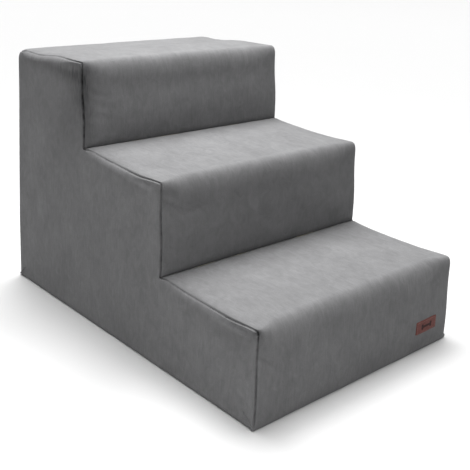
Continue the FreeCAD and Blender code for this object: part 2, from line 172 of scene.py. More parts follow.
def mesh_piece(name, points, faces, cut=None, wall=None):
    """An object at the origin from points and faces, with a UV map in metres and a Solidify
    modifier that grows a wall inwards from the surface, where they are given."""
    mesh = bpy.data.meshes.new(name)
    faces = faces.tolist() if isinstance(faces, np.ndarray) else faces
    mesh.from_pydata(points.reshape(-1, 3).tolist(), [], faces)
    mesh.shade_smooth()
    if cut is not None:
        corner_points = np.zeros(len(mesh.loops), np.int32)
        mesh.loops.foreach_get("vertex_index", corner_points)
        uv = mesh.uv_layers.new(name="cut")
        uv.data.foreach_set("uv", cut.reshape(-1, 2)[corner_points].astype(np.float32).ravel())
    piece = bpy.data.objects.new(name, mesh)
    bpy.context.scene.collection.objects.link(piece)
    if wall:
        cloth = piece.modifiers.new("Cloth", "SOLIDIFY")
        cloth.thickness, cloth.offset = wall, -1
    return piece


def cloth_piece(name, points, wall, turned=False, start=(0.0, 0.0)):
    """A grid of points as a piece of cloth with its UV map. turned faces it the other way."""
    faces = grid_faces(*points.shape[:2])
    faces = faces[:, ::-1] if turned else faces
    return mesh_piece(name, points, faces, flat_map(points, start), wall)


# %% [markdown]
# ## How the foam has settled
# A soft stair isn't a perfect prism: its foot spreads a little, its top pulls in, and the back
# edge of the top sags. Each corner of the side's outline has a small move of its own, and every
# point of the cover follows the corners near it. The zip's strip of the back stays where it is.

# %% Settle the cover
SETTLED = np.array([
    # along Y, Z of the corner, then the move back and up, in mm
    (RISER_Y[0], 0, -1, 0),
    (RISER_Y[0], TREAD_Z[0], 4, 4),
    (RISER_Y[1], TREAD_Z[0], 0, 5),
    (RISER_Y[1], TREAD_Z[1], 6, 4),
    (RISER_Y[2], TREAD_Z[1], -5, 8),
    (RISER_Y[2], TREAD_Z[2], 1, -1),
    (BACK_Y, TREAD_Z[2], -9, -8),
    (BACK_Y, 0, 0, 0),
])
SETTLE_REACH, SETTLE_FOOT = 0.03, 0.07
FOOT_OUT, TOP_IN = 6.5 * MM, 5 * MM


def settle(points):
    """Moves points as the corners near them move, weighted by one over distance cubed, and
    spreads the sides from TOP_IN inwards at the top to FOOT_OUT outwards at the foot.

    The foot stays on the floor, and the strip round the zip keeps its place along Y.
    """
    y, z = points[..., 1], points[..., 2]
    gap = np.hypot(y[..., None] - SETTLED[:, 0], z[..., None] - SETTLED[:, 1])
    weight = 1 / (gap**2 + SETTLE_REACH**2) ** 1.5
    weight /= weight.sum(-1, keepdims=True)
    back, up = (weight @ SETTLED[:, k] * MM for k in (2, 3))
    by_the_zip = smooth((y - BACK_Y + 0.1) / 0.1) * smooth((ZIP_Z + 0.09 - z) / 0.06)
    out = FOOT_OUT - (FOOT_OUT + TOP_IN) * z / TREAD_Z[2]
    moved = points.copy()
    moved[..., 0] *= 1 + out / HALF_WIDTH
    moved[..., 1] += back * (1 - by_the_zip)
    moved[..., 2] += up * smooth((z - BASE_TOP) / SETTLE_FOOT)
    return moved


# %% [markdown]
# ## The cover's surfaces
# The velour is cut as one strip per step, up the riser, round the nose and back along the tread,
# and as two stair-shaped sides that roll over the edges of the treads. The foam's corner rounds
# the nose generously in the middle, while the side seams hold it tight at both ends.

# %% One step's strip of cover
LEFT, RIGHT = -1, 1
NOSE, NOSE_AT_SEAM = [21 * MM, 19 * MM, 17 * MM], {LEFT: 5.5 * MM, RIGHT: 8 * MM}
NOSE_SPREAD, NOSE_TALL, TOP_EDGE = 50 * MM, 1.9, 6 * MM
SEAM_IN, ROLL_IN = 1.4 * MM, [2.5 * MM, 3.5 * MM, 5.5 * MM]
ROLL_EASE = [0.6, 0.6, 0.35]
EDGE_ROLL, EDGE_LOW, EDGE_SAG = 13 * MM, 1.0 * MM, [4.2 * MM, 3.8 * MM, 2.2 * MM]


def roll_share(step, v):
    """How much the side's cloth wraps over onto a tread: 0 on the riser and nose, easing to 1
    over the front ROLL_EASE of the tread, and back to 0 at its far end."""
    return smooth((v - 2.04) / ROLL_EASE[step]) * smooth((3 - v) / 0.1)


def edge_fall(step, v):
    """How far a strip's edge has turned down where it meets the side's cloth: EDGE_LOW on a riser,
    EDGE_SAG more along the middle of a tread, and none at the back."""
    sag = EDGE_SAG[step] * smooth((v - 2) / 0.3) * smooth((3 - v) / 0.3)
    return (EDGE_LOW + sag) * smooth((3.3 - v) / 0.3)


def nose_radius(step, u):
    """The nose's radius: its middle value, easing to the seams' own values at both ends."""
    at_seam = np.where(u < 0, NOSE_AT_SEAM[LEFT], NOSE_AT_SEAM[RIGHT])
    return at_seam + (NOSE[step] - at_seam) * smooth(from_side(u) / NOSE_SPREAD)


def step_surface(step, u, v):
    """One step's strip. u runs from -1 at the left seam to 1 at the right one.

    v runs 0 to 1 up the riser, 1 to 2 round the nose's quarter ellipse, which is NOSE_TALL times
    as high as it is deep and grows away from the seams, and 2 to 3 back along the tread. The top
    step goes on to 3.5, half of the quarter circle that its back edge shares with the back panel.
    Within EDGE_ROLL of a seam the cloth turns down by edge_fall times near^2, near being 1 at
    the seam.
    """
    front, top, foot = RISER_Y[step], TREAD_Z[step], FOOT_Z[step]
    end = END_Y[step] - (TOP_EDGE if step == 2 else 0)
    radius = nose_radius(step, u)
    up, along = np.clip(v, 0, 1), np.clip(v - 2, 0, 1)
    turn = np.clip(v - 1, 0, 1) * np.pi / 2
    over = np.clip(v - 3, 0, 0.5) * np.pi / 2
    fall = edge_fall(step, v) * np.clip(1 - from_side(u) / EDGE_ROLL, 0, 1) ** 2
    x = u * (HALF_WIDTH - SEAM_IN - ROLL_IN[step] * roll_share(step, v))
    y = front + radius * (1 - np.cos(turn)) + along * (end - front - radius)
    tall = radius * NOSE_TALL
    z = foot + up * (top - tall - foot) + tall * np.sin(turn)
    y = y + TOP_EDGE * np.sin(over) + fall * np.cos(turn + over)
    z = z - TOP_EDGE * (1 - np.cos(over)) - fall * np.sin(turn + over)
    return np.stack([x, y, z], -1)


def step_rows(step, spacing):
    """v values of a step's rows, about spacing apart and closer at the seams."""
    nose = 1 + np.linspace(0, 1, max(6, int(48 * MM / spacing)))
    rows = [bunched(int(RISE[step] / spacing))[:-1], nose, 2 + bunched(int(RUN[step] / spacing))[1:]]
    if step == 2:
        rows.append(3 + np.linspace(0, 0.5, 4)[1:])
    return np.concatenate(rows)


# %% The back's outline, where the sides meet it
def back_outline(v):
    """The back's right edge. v runs 0 to 1 up from the base and 1 to 1.5 round the lower half of
    the top edge's quarter circle."""
    over = np.clip(v - 1, 0, 0.5) * np.pi / 2
    y = BACK_Y - TOP_EDGE * (1 - np.cos(over))
    z = BASE_TOP + np.clip(v, 0, 1) * (TREAD_Z[2] - TOP_EDGE - BASE_TOP) + TOP_EDGE * np.sin(over)
    return stacked(HALF_WIDTH - SEAM_IN, y, z)


# %% Where the side's grid lines stand
SIDE_BAND = 30 * MM


def side_lines(spacing, sign):
    """Where the side's grid lines stand, and the seam's points that they lead to.

    The flat of the side is a grid of squares under the stair's profile, a band's width in from
    the seam. Each step owns the lines beside its riser and the lines under its tread. Returns
    the lines' Y and Z, how many of each come before each step, the seam's points, and how much
    the side's cloth wraps over at each.
    """
    y_lines, z_lines, y_start, z_start, seam, rolled = [], [], [], [], [], []
    for k in range(3):
        rows = step_rows(k, spacing)
        rim = step_surface(k, float(sign), rows) * (sign, 1, 1)
        corner = int(np.argmin(np.abs(rows - 1.5)))
        length = along_grid(rim[:, None], 0)[:, 0]
        up = length[: corner + 1] / length[corner]
        back = (length[corner:] - length[corner]) / (length[-1] - length[corner])
        low = TREAD_Z[k - 1] - SIDE_BAND if k else BASE_TOP + SIDE_BAND
        ahead = END_Y[k] + (SIDE_BAND if k < 2 else -SIDE_BAND)
        z_start.append(len(z_lines))
        y_start.append(len(y_lines))
        z_lines += list(low + up[:-1] * (TREAD_Z[k] - SIDE_BAND - low))
        y_lines += list(RISER_Y[k] + SIDE_BAND + back[:-1] * (ahead - RISER_Y[k] - SIDE_BAND))
        seam.append(rim[:-1])
        rolled.append(roll_share(k, rows[:-1]))
    y_lines = np.array(y_lines + [BACK_Y - SIDE_BAND])
    z_lines = np.array(z_lines + [TREAD_Z[2] - SIDE_BAND])
    share = (z_lines[::-1] - z_lines[0]) / (z_lines[-1] - z_lines[0])
    v = np.concatenate([np.linspace(1.5, 1, 4), np.interp(share[4:], [0, share[3]], [0, 1])])
    seam.append(back_outline(v)[:-1])
    share = (y_lines[::-1] - y_lines[0]) / (y_lines[-1] - y_lines[0])
    along_foot = BACK_Y + (share - 1) * (BACK_Y - RISER_Y[0])
    seam.append(stacked(HALF_WIDTH - SEAM_IN, along_foot, BASE_TOP)[:-1])
    rolled.append(np.zeros(len(v) + len(share) - 2))
    return y_lines, z_lines, y_start, z_start, np.concatenate(seam), np.concatenate(rolled)


# %% The side's surface
SEAM_OUT, SEAM_FLATTER = (0.75, 0.66), 0.65
SIDE_ROLL, ROLL_DOWN = 3 * MM, 7 * MM
ROLL_START, ROLL_START_FLAT = math.radians(62), math.radians(20)
BAND_RINGS = np.concatenate([np.linspace(0, 1, 15) ** 1.5, np.linspace(1, 2, 8)[1:-1]])


def side_rings(seam, rolled, inner):
    """The band between the seam and the flat's edge: points, normals and ways out at the seam.

    Ring 0 is the seam. From 0 to 1 the cloth rolls onto the side along part of an ellipse, as
    wide as the seam's inset and SIDE_ROLL high, or ROLL_DOWN more where it wraps over: with s
    going from the start to a right angle, (1 - sin s) / (1 - sin start) of the one and
    1 - cos s / cos start of the other. From 1 to 2 it crosses to the inner points.
    """
    plane = seam[:, 1:]
    ahead = np.roll(plane, -1, 0) - np.roll(plane, 1, 0)
    inwards = np.stack([ahead[:, 1], -ahead[:, 0]], -1)
    inwards /= np.linalg.norm(inwards, axis=1, keepdims=True)
    for _ in range(4):
        inwards = (np.roll(inwards, 1, 0) + 2 * inwards + np.roll(inwards, -1, 0)) / 4
    ring = BAND_RINGS[None, :, None]
    rolled, inset = rolled[:, None, None], HALF_WIDTH - seam[:, :1][:, None]
    begin = ROLL_START + (ROLL_START_FLAT - ROLL_START) * rolled
    turn = begin + np.clip(ring, 0, 1) * (np.pi / 2 - begin)
    high = (SIDE_ROLL + ROLL_DOWN * rolled) / np.cos(begin)
    wide = inset / (1 - np.sin(begin))
    edge = plane[:, None] + inwards[:, None] * high * (np.cos(begin) - np.cos(turn))
    flat = edge + np.clip(ring - 1, 0, 1) * (inner[:, None] - edge)
    band = np.concatenate([HALF_WIDTH - wide * (1 - np.sin(turn)), flat], -1)
    normal = np.concatenate([high * np.sin(turn), -inwards[:, None] * wide * np.cos(turn)], -1)
    normal /= np.linalg.norm(normal, axis=-1, keepdims=True)
    way_out = np.column_stack([np.full(len(plane), SEAM_OUT[0]), -inwards * SEAM_OUT[1]])
    way_out = way_out[:, None] * (1 - SEAM_FLATTER * rolled)
    return band, normal, np.broadcast_to(way_out, band.shape)


def side_surface(spacing, sign):
    """One side, as if it were on the right: points, normals, ways out at the seam, distances
    from the seam, and faces. The grid of squares comes first, and then the band round it."""
    y_lines, z_lines, y_start, z_start, seam, rolled = side_lines(spacing, sign)
    cols, rows = len(y_lines), len(z_lines)
    number = np.arange(rows * cols).reshape(rows, cols)
    used, path = np.ones((rows, cols), bool), []
    for k, (top, end) in enumerate(zip([*z_start[1:], rows - 1], [*y_start[1:], cols - 1])):
        path += list(number[z_start[k] : top, y_start[k]]) + list(number[top, y_start[k] : end])
        if k:
            used[z_start[k] + 1 :, : y_start[k]] = False
    path += list(number[:0:-1, -1]) + list(number[0, :0:-1])
    used = used.ravel()
    inner = stacked(*np.meshgrid(y_lines, z_lines)).reshape(-1, 2)
    band, normal, way_out = side_rings(seam, rolled, inner[path])

    start = int(used.sum())
    new_number = np.cumsum(used) - 1
    squares = quads_of(number)
    squares = new_number[squares[used[squares].all(1)]]
    rings = start + np.arange(band[..., 0].size).reshape(band.shape[:2])
    rings = np.concatenate([rings, new_number[path][:, None]], 1)
    faces = np.concatenate([squares, quads_of(np.concatenate([rings, rings[:1]]))])
    flat = np.column_stack([np.full(start, HALF_WIDTH), inner[used]])
    points = np.concatenate([flat, band.reshape(-1, 3)])
    normals = np.concatenate([np.tile((1.0, 0, 0), (start, 1)), normal.reshape(-1, 3)])
    way_out = np.concatenate([np.zeros((start, 3)), way_out.reshape(-1, 3)])
    from_seam = np.concatenate([np.full(start, 2 * SIDE_BAND), along_grid(band, 1).ravel()])
    return points, normals, way_out, from_seam, faces


# %% [markdown]
# ## Folds, puckers and grooves
# Small relief is added along the cloth's normal. A seam is a narrow groove, because the stitches
# draw the two cloths down into it. Next to a seam the cloth puckers in short ripples that fade
# within a few centimetres. Drag folds run from a corner that carries the pull.

# %% Helpers for relief
GROOVE_DEEP, GROOVE_WIDE = 2.8 * MM, 1.5 * MM


def groove(distance):
    """A seam's groove: depth times exp(-(distance / width)^2)."""
    return -GROOVE_DEEP * bell(distance, GROOVE_WIDE)


def seam_way(step, u, v):
    """The way out at a strip's seam, halfway between its own face and the side's, and
    shortened by SEAM_FLATTER where the side's cloth wraps over."""
    turn = (np.clip(v - 1, 0, 1) + np.clip(v - 3, 0, 0.5)) * np.pi / 2
    out, face = SEAM_OUT
    way = stacked(np.sign(u) * out, -face * np.cos(turn), face * np.sin(turn))
    return way * (1 - SEAM_FLATTER * roll_share(step, v))[..., None]


def fold(x, s, start, end, width, height):
    """A fold along the line from start to end: height exp(-(distance / width)^2), fading out
    towards its far end. Places are in mm."""
    a, b = np.array(start) * MM, np.array(end) * MM
    line = b - a
    t = ((x - a[0]) * line[0] + (s - a[1]) * line[1]) / (line @ line)
    on = np.clip(t, 0, 1)
    aside = np.hypot(x - a[0] - on * line[0], s - a[1] - on * line[1])
    return height * MM * smooth((1 - t) / 0.7) * smooth((t + 0.15) / 0.2) * bell(aside, width * MM)


# %% Relief of the step strips
STEP_FOLDS = [
    # start, end, width and height, in mm across the strip and along it from the riser's foot
    [((-198, 104), (-150, 92), 5, -2.0), ((-198, 92), (-140, 78), 6, 1.2)],
    [((-199, 116), (-70, 126), 8, -2.2), ((-199, 82), (-90, 84), 9, -0.9)],
    [((-199, 96), (-120, 104), 4, -0.8), ((-199, 74), (-110, 80), 4, -0.7),
     ((-199, 50), (-130, 52), 4, -0.7)],
]
CROWN_RISER, CROWN_TREAD = 1.2 * MM, 1.5 * MM
LEFT_PUCKERS, RIGHT_PUCKERS = 0.45 * MM, 0.18 * MM


def step_relief(step, u, v):
    """How far a step's strip stands out: crowns, slack, puckers by the seams, and folds."""
    up, along = np.clip(v, 0, 1), np.clip(v - 2, 0, 1)
    x, s = np.broadcast_arrays(u * HALF_WIDTH, up * RISE[step] + along * RUN[step])
    side = from_side(u)
    crown = CROWN_RISER * smooth(up / 0.4) * smooth((1 - up) / 0.4)
    crown = crown + CROWN_TREAD * smooth(along / 0.3) * smooth((1 - along) / 0.25)
    puckers = np.where(u < 0, LEFT_PUCKERS, RIGHT_PUCKERS) * np.exp(-side / 0.018)
    puckers = puckers * ripple(s + 0.2 * side, (0.013, 0.021, 0.034), step + 1)
    slack = ripple(x * 0.9 + s * 0.5, (0.06, 0.11), step + 5)
    slack = 0.25 * MM * (slack + ripple(s - 0.3 * x, (0.045, 0.09), step + 9))
    lift = crown * smooth(side / 0.07) + puckers * smooth(side / 0.006) + slack * smooth(side / 0.02)
    return lift + sum(fold(x, s, *line) for line in STEP_FOLDS[step]) * smooth(side / 0.005)


# %% Relief of the sides
OUTLINE = SETTLED[:, :2]
VALLEY, SWELL = [1.5 * MM, 1.2 * MM, 0.4 * MM], [1.8 * MM, 1.5 * MM, 0.8 * MM]
SIDE_FOLDS = [
    # start, end, width and height, in mm along Y and Z
    ((-296, 30), (-262, 44), 4, 1.0),
    ((-297, 16), (-255, 24), 4, 0.9),
    ((-298, 48), (-270, 62), 4, 0.7),
    ((-102, 150), (-80, 118), 6, -1.2),
    ((98, 284), (118, 246), 6, -1.2),
]


def edge_distance(y, z):
    """Distance to the side's outline: the smallest of the distances to its straight edges."""
    nearest = np.full(np.shape(y), 1.0)
    for (ay, az), (by, bz) in zip(OUTLINE, np.roll(OUTLINE, -1, 0)):
        ly, lz = by - ay, bz - az
        t = np.clip(((y - ay) * ly + (z - az) * lz) / (ly**2 + lz**2), 0, 1)
        nearest = np.minimum(nearest, np.hypot(y - ay - t * ly, z - az - t * lz))
    return nearest


def under_treads(y, z):
    """Below a tread's seam the side is drawn in, and then swells: VALLEY and SWELL times
    exp(-((d - centre) / width)^2), d being the depth below the tread."""
    total = np.zeros_like(y)
    for k in range(3):
        t, low = (y - RISER_Y[k]) / RUN[k], TREAD_Z[k] - z
        shape = SWELL[k] * bell(low - 0.018, 0.006) - VALLEY[k] * bell(low - 0.009, 0.0045)
        total += smooth((t - 0.02) / 0.12) * smooth((0.7 - t) / 0.6) * shape
    return total


def side_relief(y, z, from_seam, seed):
    """How far a side stands out: a crown, slack, puckers by the edge, folds and swells."""
    edge = edge_distance(y, z)
    lift = 1.6 * MM * smooth((edge - 0.01) / 0.09)
    lift += 0.2 * MM * np.exp(-edge / 0.02) * ripple(y + z, (0.017, 0.027, 0.041), seed)
    slack = 0.35 * MM * ripple(0.8 * y + 0.6 * z, (0.07, 0.13), seed + 1)
    slack += 0.3 * MM * ripple(0.5 * y - 0.9 * z, (0.06, 0.1), seed + 2)
    lift += slack * smooth(edge / 0.03) + sum(fold(y, z, *line) for line in SIDE_FOLDS)
    return lift * smooth(from_seam / 0.012) + under_treads(y, z) * smooth(from_seam / 0.003)


# %% [markdown]
# ## Corners where two strips meet
# At the foot of a riser the tread's cloth and the riser's cloth are sewn together and pulled
# down between the two foam slabs, so both sink along the corner's diagonal. Round the base the
# cover's edge comes down over the base cloth's. A few corners are drawn in by their stitches.

# %% Sink the inner corners and bring the foot over the base cloth
SINK, SINK_WIDE = 1.6 * MM, 3 * MM
TUCK, TUCK_HIGH, FOOT_LOW = 0.6 * MM, 2 * MM, 1.5 * MM


def sink_corners(points):
    """Moves cloth near a riser's foot back and down by SINK exp(-(distance / width)^2)."""
    moved = points.copy()
    for k in (1, 2):
        gap = np.hypot(points[..., 1] - RISER_Y[k], points[..., 2] - TREAD_Z[k - 1])
        moved[..., 1:] += SINK * bell(gap, SINK_WIDE)[..., None] * (1, -1)
    return moved


def tuck_foot(points):
    """Draws the lowest cloth in by TUCK (1 - sqrt(1 - low^2)) and down by FOOT_LOW low, over the
    base cloth's edge, low being 1 at the base."""
    low = 1 - np.clip((points[..., 2:] - BASE_TOP) / TUCK_HIGH, 0, 1)
    share = TUCK * (1 - np.sqrt(1 - low**2))
    scale = np.concatenate([1 - share / HALF_WIDTH, 1 - share / BACK_Y, np.ones_like(low)], -1)
    return points * scale - FOOT_LOW * low * (0, 0, 1)


# %% Draw the seams' corners in
PULL_FROM = 9 * MM
NOSE_WAY, BACK_WAY = (0.6, 0.55, -0.58), (0.6, -0.55, -0.58)
PINCHED = [
    # step, v, side, depth, width and way in, on the left
    (0, 1.5, LEFT, 4.2 * MM, 4 * MM, NOSE_WAY),
    (1, 1.5, LEFT, 1.4 * MM, 4 * MM, NOSE_WAY),
    (2, 1.5, LEFT, 1.2 * MM, 4 * MM, NOSE_WAY),
    (2, 3.3, LEFT, 3.4 * MM, 8 * MM, BACK_WAY),
    (2, 3.3, RIGHT, 3.4 * MM, 8 * MM, BACK_WAY),
]


def pinch_corners(points):
    """Draws the seams' corners in by depth exp(-(distance / width)^2)."""
    moved = points.copy()
    for step, v, side, depth, width, way in PINCHED:
        corner = settle(step_surface(step, np.array([float(side)]), np.array([v])))[0]
        gap = np.linalg.norm(points - corner, axis=-1, keepdims=True)
        moved += depth * bell(gap, width) * np.array(way) * (-side, 1, 1)
    return moved


def off_foot(points):
    """0 at the foot, where no seam draws the cloth in, easing to 1 at PULL_FROM above it."""
    return smooth((points[..., 2:] - BASE_TOP) / PULL_FROM)


# %% [markdown]
# ## Painted shade on the velour
# The velour is painted darker where shade falls: in a thin line in each seam's groove, in the hollow
# under a tread's edge, along riser 3's left seam, across riser 2 and in a few corners. Smudges high
# on the left side are brushed nap with painted shade in them. Each point of the cover carries that
# as a number from 0 to 1, worked out from its place, and the material reads it.

# %% Work out the painted shade
SEAM_LINE, SIDE_LINE = 1.0 * MM, 1.8 * MM
# Painted shade in the hollow under each tread's left edge, one amount for each step.
HOLLOW = [0.2, 0.14, 0.05]
BRUSHED_AND_SHADED = [
    # centre, reach and amount: X, Y, Z in mm. The first five darken the upper left side: smudges of
    # brushed nap with painted shade in them. The rest are painted shade: beside riser 3's left seam,
    # across riser 2, in step 1's left nose corner, at riser 2's top left and on the side under tread
    # 1.
    ((-200, 134, 378), (18, 44, 13), 0.42),
    ((-200, 112, 352), (18, 20, 34), 0.34),
    ((-200, 225, 382), (18, 60, 12), 0.24),
    ((-200, 135, 300), (18, 34, 34), 0.16),
    ((-200, 190, 400), (18, 250, 110), 0.1),
    ((-191, 98, 342), (11, 12, 62), 0.36),
    ((-165, 98, 350), (18, 12, 22), 0.14),
    ((0, -100, 205), (220, 14, 62), 0.18),
    ((-199, -292, 132), (5, 9, 5), 0.5),
    ((-192, -100, 256), (34, 12, 9), 0.16),
    ((-200, -262, 112), (14, 40, 16), 0.12),
]


def nap_and_painted_shade(points, from_seam, line_wide=SEAM_LINE):
    """Painted shade on the cover: about half exp(-(d / line_wide)^2) by a seam for the shade in its
    groove, fainter along the top's edges and none at the foot, plus HOLLOW under the treads' left
    edges for the shade there, and amount times exp(-(distance / reach)^2) for each patch, mostly
    painted shade and partly brushed nap."""
    x, y, z = np.moveaxis(points, -1, 0)
    on_top = smooth((z - TREAD_Z[2] + 0.012) / 0.006) * smooth((y - RISER_Y[2] - 0.01) / 0.02)
    line = 0.45 - 0.3 * on_top + 0.25 * ripple(y + z, (0.013, 0.029, 0.06), 71)
    total = line * smooth((z - BASE_TOP - 0.001) / 0.003) * bell(from_seam, line_wide)
    on_left = smooth((-x - HALF_WIDTH + 0.01) / 0.006)
    for k in range(3):
        t = (y - RISER_Y[k]) / RUN[k]
        along = smooth(t / 0.08) * smooth((0.8 - t) / 0.6) * on_left
        total = total + HOLLOW[k] * along * bell(TREAD_Z[k] - z - 0.007, 0.005)
    for centre, reach, amount in BRUSHED_AND_SHADED:
        gap = (points - np.array(centre) * MM) / (np.array(reach) * MM)
        total = total + amount * bell(np.linalg.norm(gap, axis=-1))
    return np.clip(total, 0, 1)


def keep_number(piece, name, values):
    """Stores one number for each point of a piece's mesh."""
    layer = piece.data.attributes.new(name, "FLOAT", "POINT")
    layer.data.foreach_set("value", values.astype(np.float32).ravel())


# %% [markdown]
# ## The step strips and the sides
# Each strip has a row or column every 3 mm or so, closer at its seams, and gets the cloth's
# thickness inwards by Solidify, so that the outer face stays where it was worked out. Its UV map
# is the cloth's own length and width in metres, so the nap runs with the cloth.

# %% Make the step strips
SPACING = 3.2 * MM
ACROSS = 2 * bunched(int(2 * HALF_WIDTH / (2.5 * MM)), 0.82) - 1
cover, cover_grids = {}, {}

for k, name in enumerate(STEP_NAMES):
    rows = step_rows(k, SPACING)
    u, v = ACROSS[None, :], rows[:, None]
    flat = step_surface(k, u, v)
    shaped = settle(sink_corners(flat))
    lift = grid_normals(shaped) * step_relief(k, u, v)[..., None]
    pull = seam_way(k, u, v) * groove(from_side(u, v))[..., None] * off_foot(flat)
    strip = pinch_corners(tuck_foot(shaped + lift + pull))
    cover_grids[f"step_{name}"] = rows, ACROSS, strip
    cover[name] = cloth_piece(f"cover_step_{name}", strip, CLOTH, start=(k, 0.0))
    keep_number(cover[name], "pressed_and_painted_shade", nap_and_painted_shade(strip, from_side(u, v)))
    print(cover[name].name, strip.shape[:2], "rows and columns")

# %% Make the sides
for name, sign, seed in (("right", RIGHT, 31), ("left", LEFT, 41)):
    points, normals, way_out, from_seam, faces = side_surface(SPACING, sign)
    lift = side_relief(points[:, 1], points[:, 2], from_seam, seed)
    shaped = settle(sink_corners(points)) + normals * lift[:, None]
    shaped = shaped + way_out * groove(from_seam)[:, None] * off_foot(points)
    shaped = pinch_corners(tuck_foot(shaped) * (sign, 1, 1))
    faces, cut = faces[:, ::sign], shaped[:, 1:] * (sign, 1)
    panel = mesh_piece(f"cover_side_{name}", shaped, faces, cut, CLOTH)
    keep_number(panel, "pressed_and_painted_shade", nap_and_painted_shade(shaped, from_seam, SIDE_LINE))
    cover[f"side_{name}"] = panel
    print(panel.name, len(shaped), "points")

# %% [markdown]
# ## The back and its zip opening
# The back is two panels whose edges are folded under on either side of the zip, and sewn
# together beyond its ends. The lower one is a strip above the base. Each panel's rows start on
# the turned-in part, go round the fold, and run away from the zip over the outer face.

# %% The back panels' surface
FOLD_UNDER, FOLD_RADIUS, STITCH_IN = 9 * MM, CLOTH / 2, 3 * MM
FOLD_EDGE = {"upper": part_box("back_panel_upper")[0].z, "lower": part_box("back_panel_lower")[1].z}
FAR_EDGE = {"upper": TREAD_Z[2] - TOP_EDGE, "lower": BASE_TOP}
AWAY = {"upper": 1, "lower": -1}
ZIP_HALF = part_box("zip_coil_upper")[1].x
ZIP_REACH, CLOSING, CLOSED_GAP = ZIP_HALF + 3 * MM, 7 * MM, 0.3 * MM


def face_length(part):
    """Length of a back panel's outer face, from the fold to its far edge."""
    return abs(FAR_EDGE[part] - FOLD_EDGE[part] - AWAY[part] * FOLD_RADIUS)


def back_panel_points(part, u, h):
    """The back from its fold. h is the distance from the fold over the outer face; below 0 it
    goes round a half circle as thick as the cloth and then along the turned-in part."""
    x, sign, radius = u * (HALF_WIDTH - SEAM_IN), AWAY[part], FOLD_RADIUS
    open_by = abs(FOLD_EDGE[part] - ZIP_Z) - CLOSED_GAP
    open_by = open_by * smooth((ZIP_REACH + CLOSING - np.abs(x)) / CLOSING)
    edge = ZIP_Z + sign * (CLOSED_GAP + open_by)
    turn = np.clip(-h / radius, 0, np.pi)
    under = np.maximum(-h - np.pi * radius, 0)
    share = np.clip(h, 0, None) / face_length(part)
    z = edge + sign * (radius * (1 - np.sin(turn)) + under)
    z = z + np.minimum(share, 1) * (FAR_EDGE[part] - edge - sign * radius)
    round_top = np.clip((share - 1) * face_length(part) / TOP_EDGE, 0, np.pi / 4)
    y = BACK_Y - radius * (1 - np.cos(turn)) - TOP_EDGE * (1 - np.cos(round_top))
    return stacked(x, y, z + TOP_EDGE * np.sin(round_top))


def back_relief(u, z, seed):
    """How far the back stands out: a crown away from the seams and the zip, slack, puckers, and
    a dent along the zip's stitches."""
    x, side, high = u * HALF_WIDTH, from_side(u), np.abs(z - ZIP_Z)
    crown = 2.5 * MM * smooth(side / 0.08) * smooth((high - 0.02) / 0.1)
    slack = 0.7 * MM * ripple(x + 0.4 * z, (0.07, 0.12), seed)
    slack = slack + 0.5 * MM * ripple(z - 0.3 * x, (0.06, 0.1), seed + 1)
    puckers = 0.45 * MM * np.exp(-side / 0.018) * ripple(z, (0.014, 0.023, 0.037), seed + 2)
    pulls = 0.35 * MM * np.exp(-high / 0.02) * ripple(x, (0.019, 0.031, 0.053), seed + 3)
    dent = 0.35 * MM * bell(high - abs(FOLD_EDGE["upper"] - ZIP_Z) - STITCH_IN, 1.1 * MM)
    far = crown * smooth((TREAD_Z[2] - z) / 0.06) + slack * smooth(side / 0.03) + puckers
    return far * smooth((high - 0.012) / 0.035) + (pulls - dent) * smooth(side / 0.006)


def back_heights(part):
    """Values of h: the turned-in part, the fold, and the outer face up to the next seam."""
    reach, around = face_length(part), np.pi * FOLD_RADIUS
    parts = [
        -around - np.linspace(FOLD_UNDER, 0, 6),
        np.linspace(-around, 0, 7)[1:],
        np.linspace(0, 8 * MM, 9)[1:],
        np.linspace(8 * MM, reach, int(reach / SPACING))[1:],
    ]
    if part == "upper":
        parts.append(reach + np.linspace(0, TOP_EDGE * np.pi / 4, 4)[1:])
    return np.concatenate(parts)


# %% Make the back panels
for part, seed in (("upper", 51), ("lower", 61)):
    heights = back_heights(part)
    u, h = ACROSS[None, :], heights[:, None]
    flat = back_panel_points(part, u, h)
    outside = smooth((h + CLOTH) / CLOTH)[..., None]
    lift = back_relief(u, flat[..., 2], seed)[..., None] * (0, 1, 0)
    pull = stacked(np.sign(u) * SEAM_OUT[0], SEAM_OUT[1], 0) * groove(from_side(u))[..., None]
    lifted = settle(flat) + (lift + pull * off_foot(flat)) * outside
    shaped = pinch_corners(tuck_foot(lifted))
    cover_grids[f"back_{part}"] = heights, ACROSS, shaped
    panel = cloth_piece(f"cover_back_{part}", shaped, 0.5 * MM, turned=part == "upper")
    keep_number(panel, "pressed_and_painted_shade", nap_and_painted_shade(shaped, from_side(u, h)))
    cover[f"back_{part}"] = panel
    print(panel.name, shaped.shape[:2], "rows and columns")

# %% [markdown]
# ## Base cloth
# The stair stands on an anti-slip cloth: a woven base with small PVC dots printed on its
# underside. The cloth lies just inside the foot of the cover. Each dot is a low dome of a few
# faces, because there are more than a thousand of them.

# %% Helpers: many small shapes in one mesh


def copies(name, shape_points, shape_faces, centres, frames):
    """One mesh with a small shape at each centre: centre + frame times shape point.

    frames holds one 3 by 3 matrix per centre, whose columns are the shape's own axes.
    """
    placed = centres[:, None, :] + np.einsum("nij,pj->npi", frames, shape_points)
    count = len(shape_points)
    faces = [[i + k * count for i in face] for k in range(len(centres)) for face in shape_faces]
    return mesh_piece(name, placed, faces)


def circle(sides):
    """Points round a circle of radius 1."""
    angle = np.arange(sides) / sides * 2 * np.pi
    return np.stack([np.cos(angle), np.sin(angle)], -1)


def closed_rings(rings, sides):
    """Faces of a solid made of rings of points: quads between them and a polygon at each end."""
    last = (rings - 1) * sides
    ends = [list(range(sides))[::-1], list(range(last, last + sides))]
    return ring_faces(rings, sides).tolist() + ends


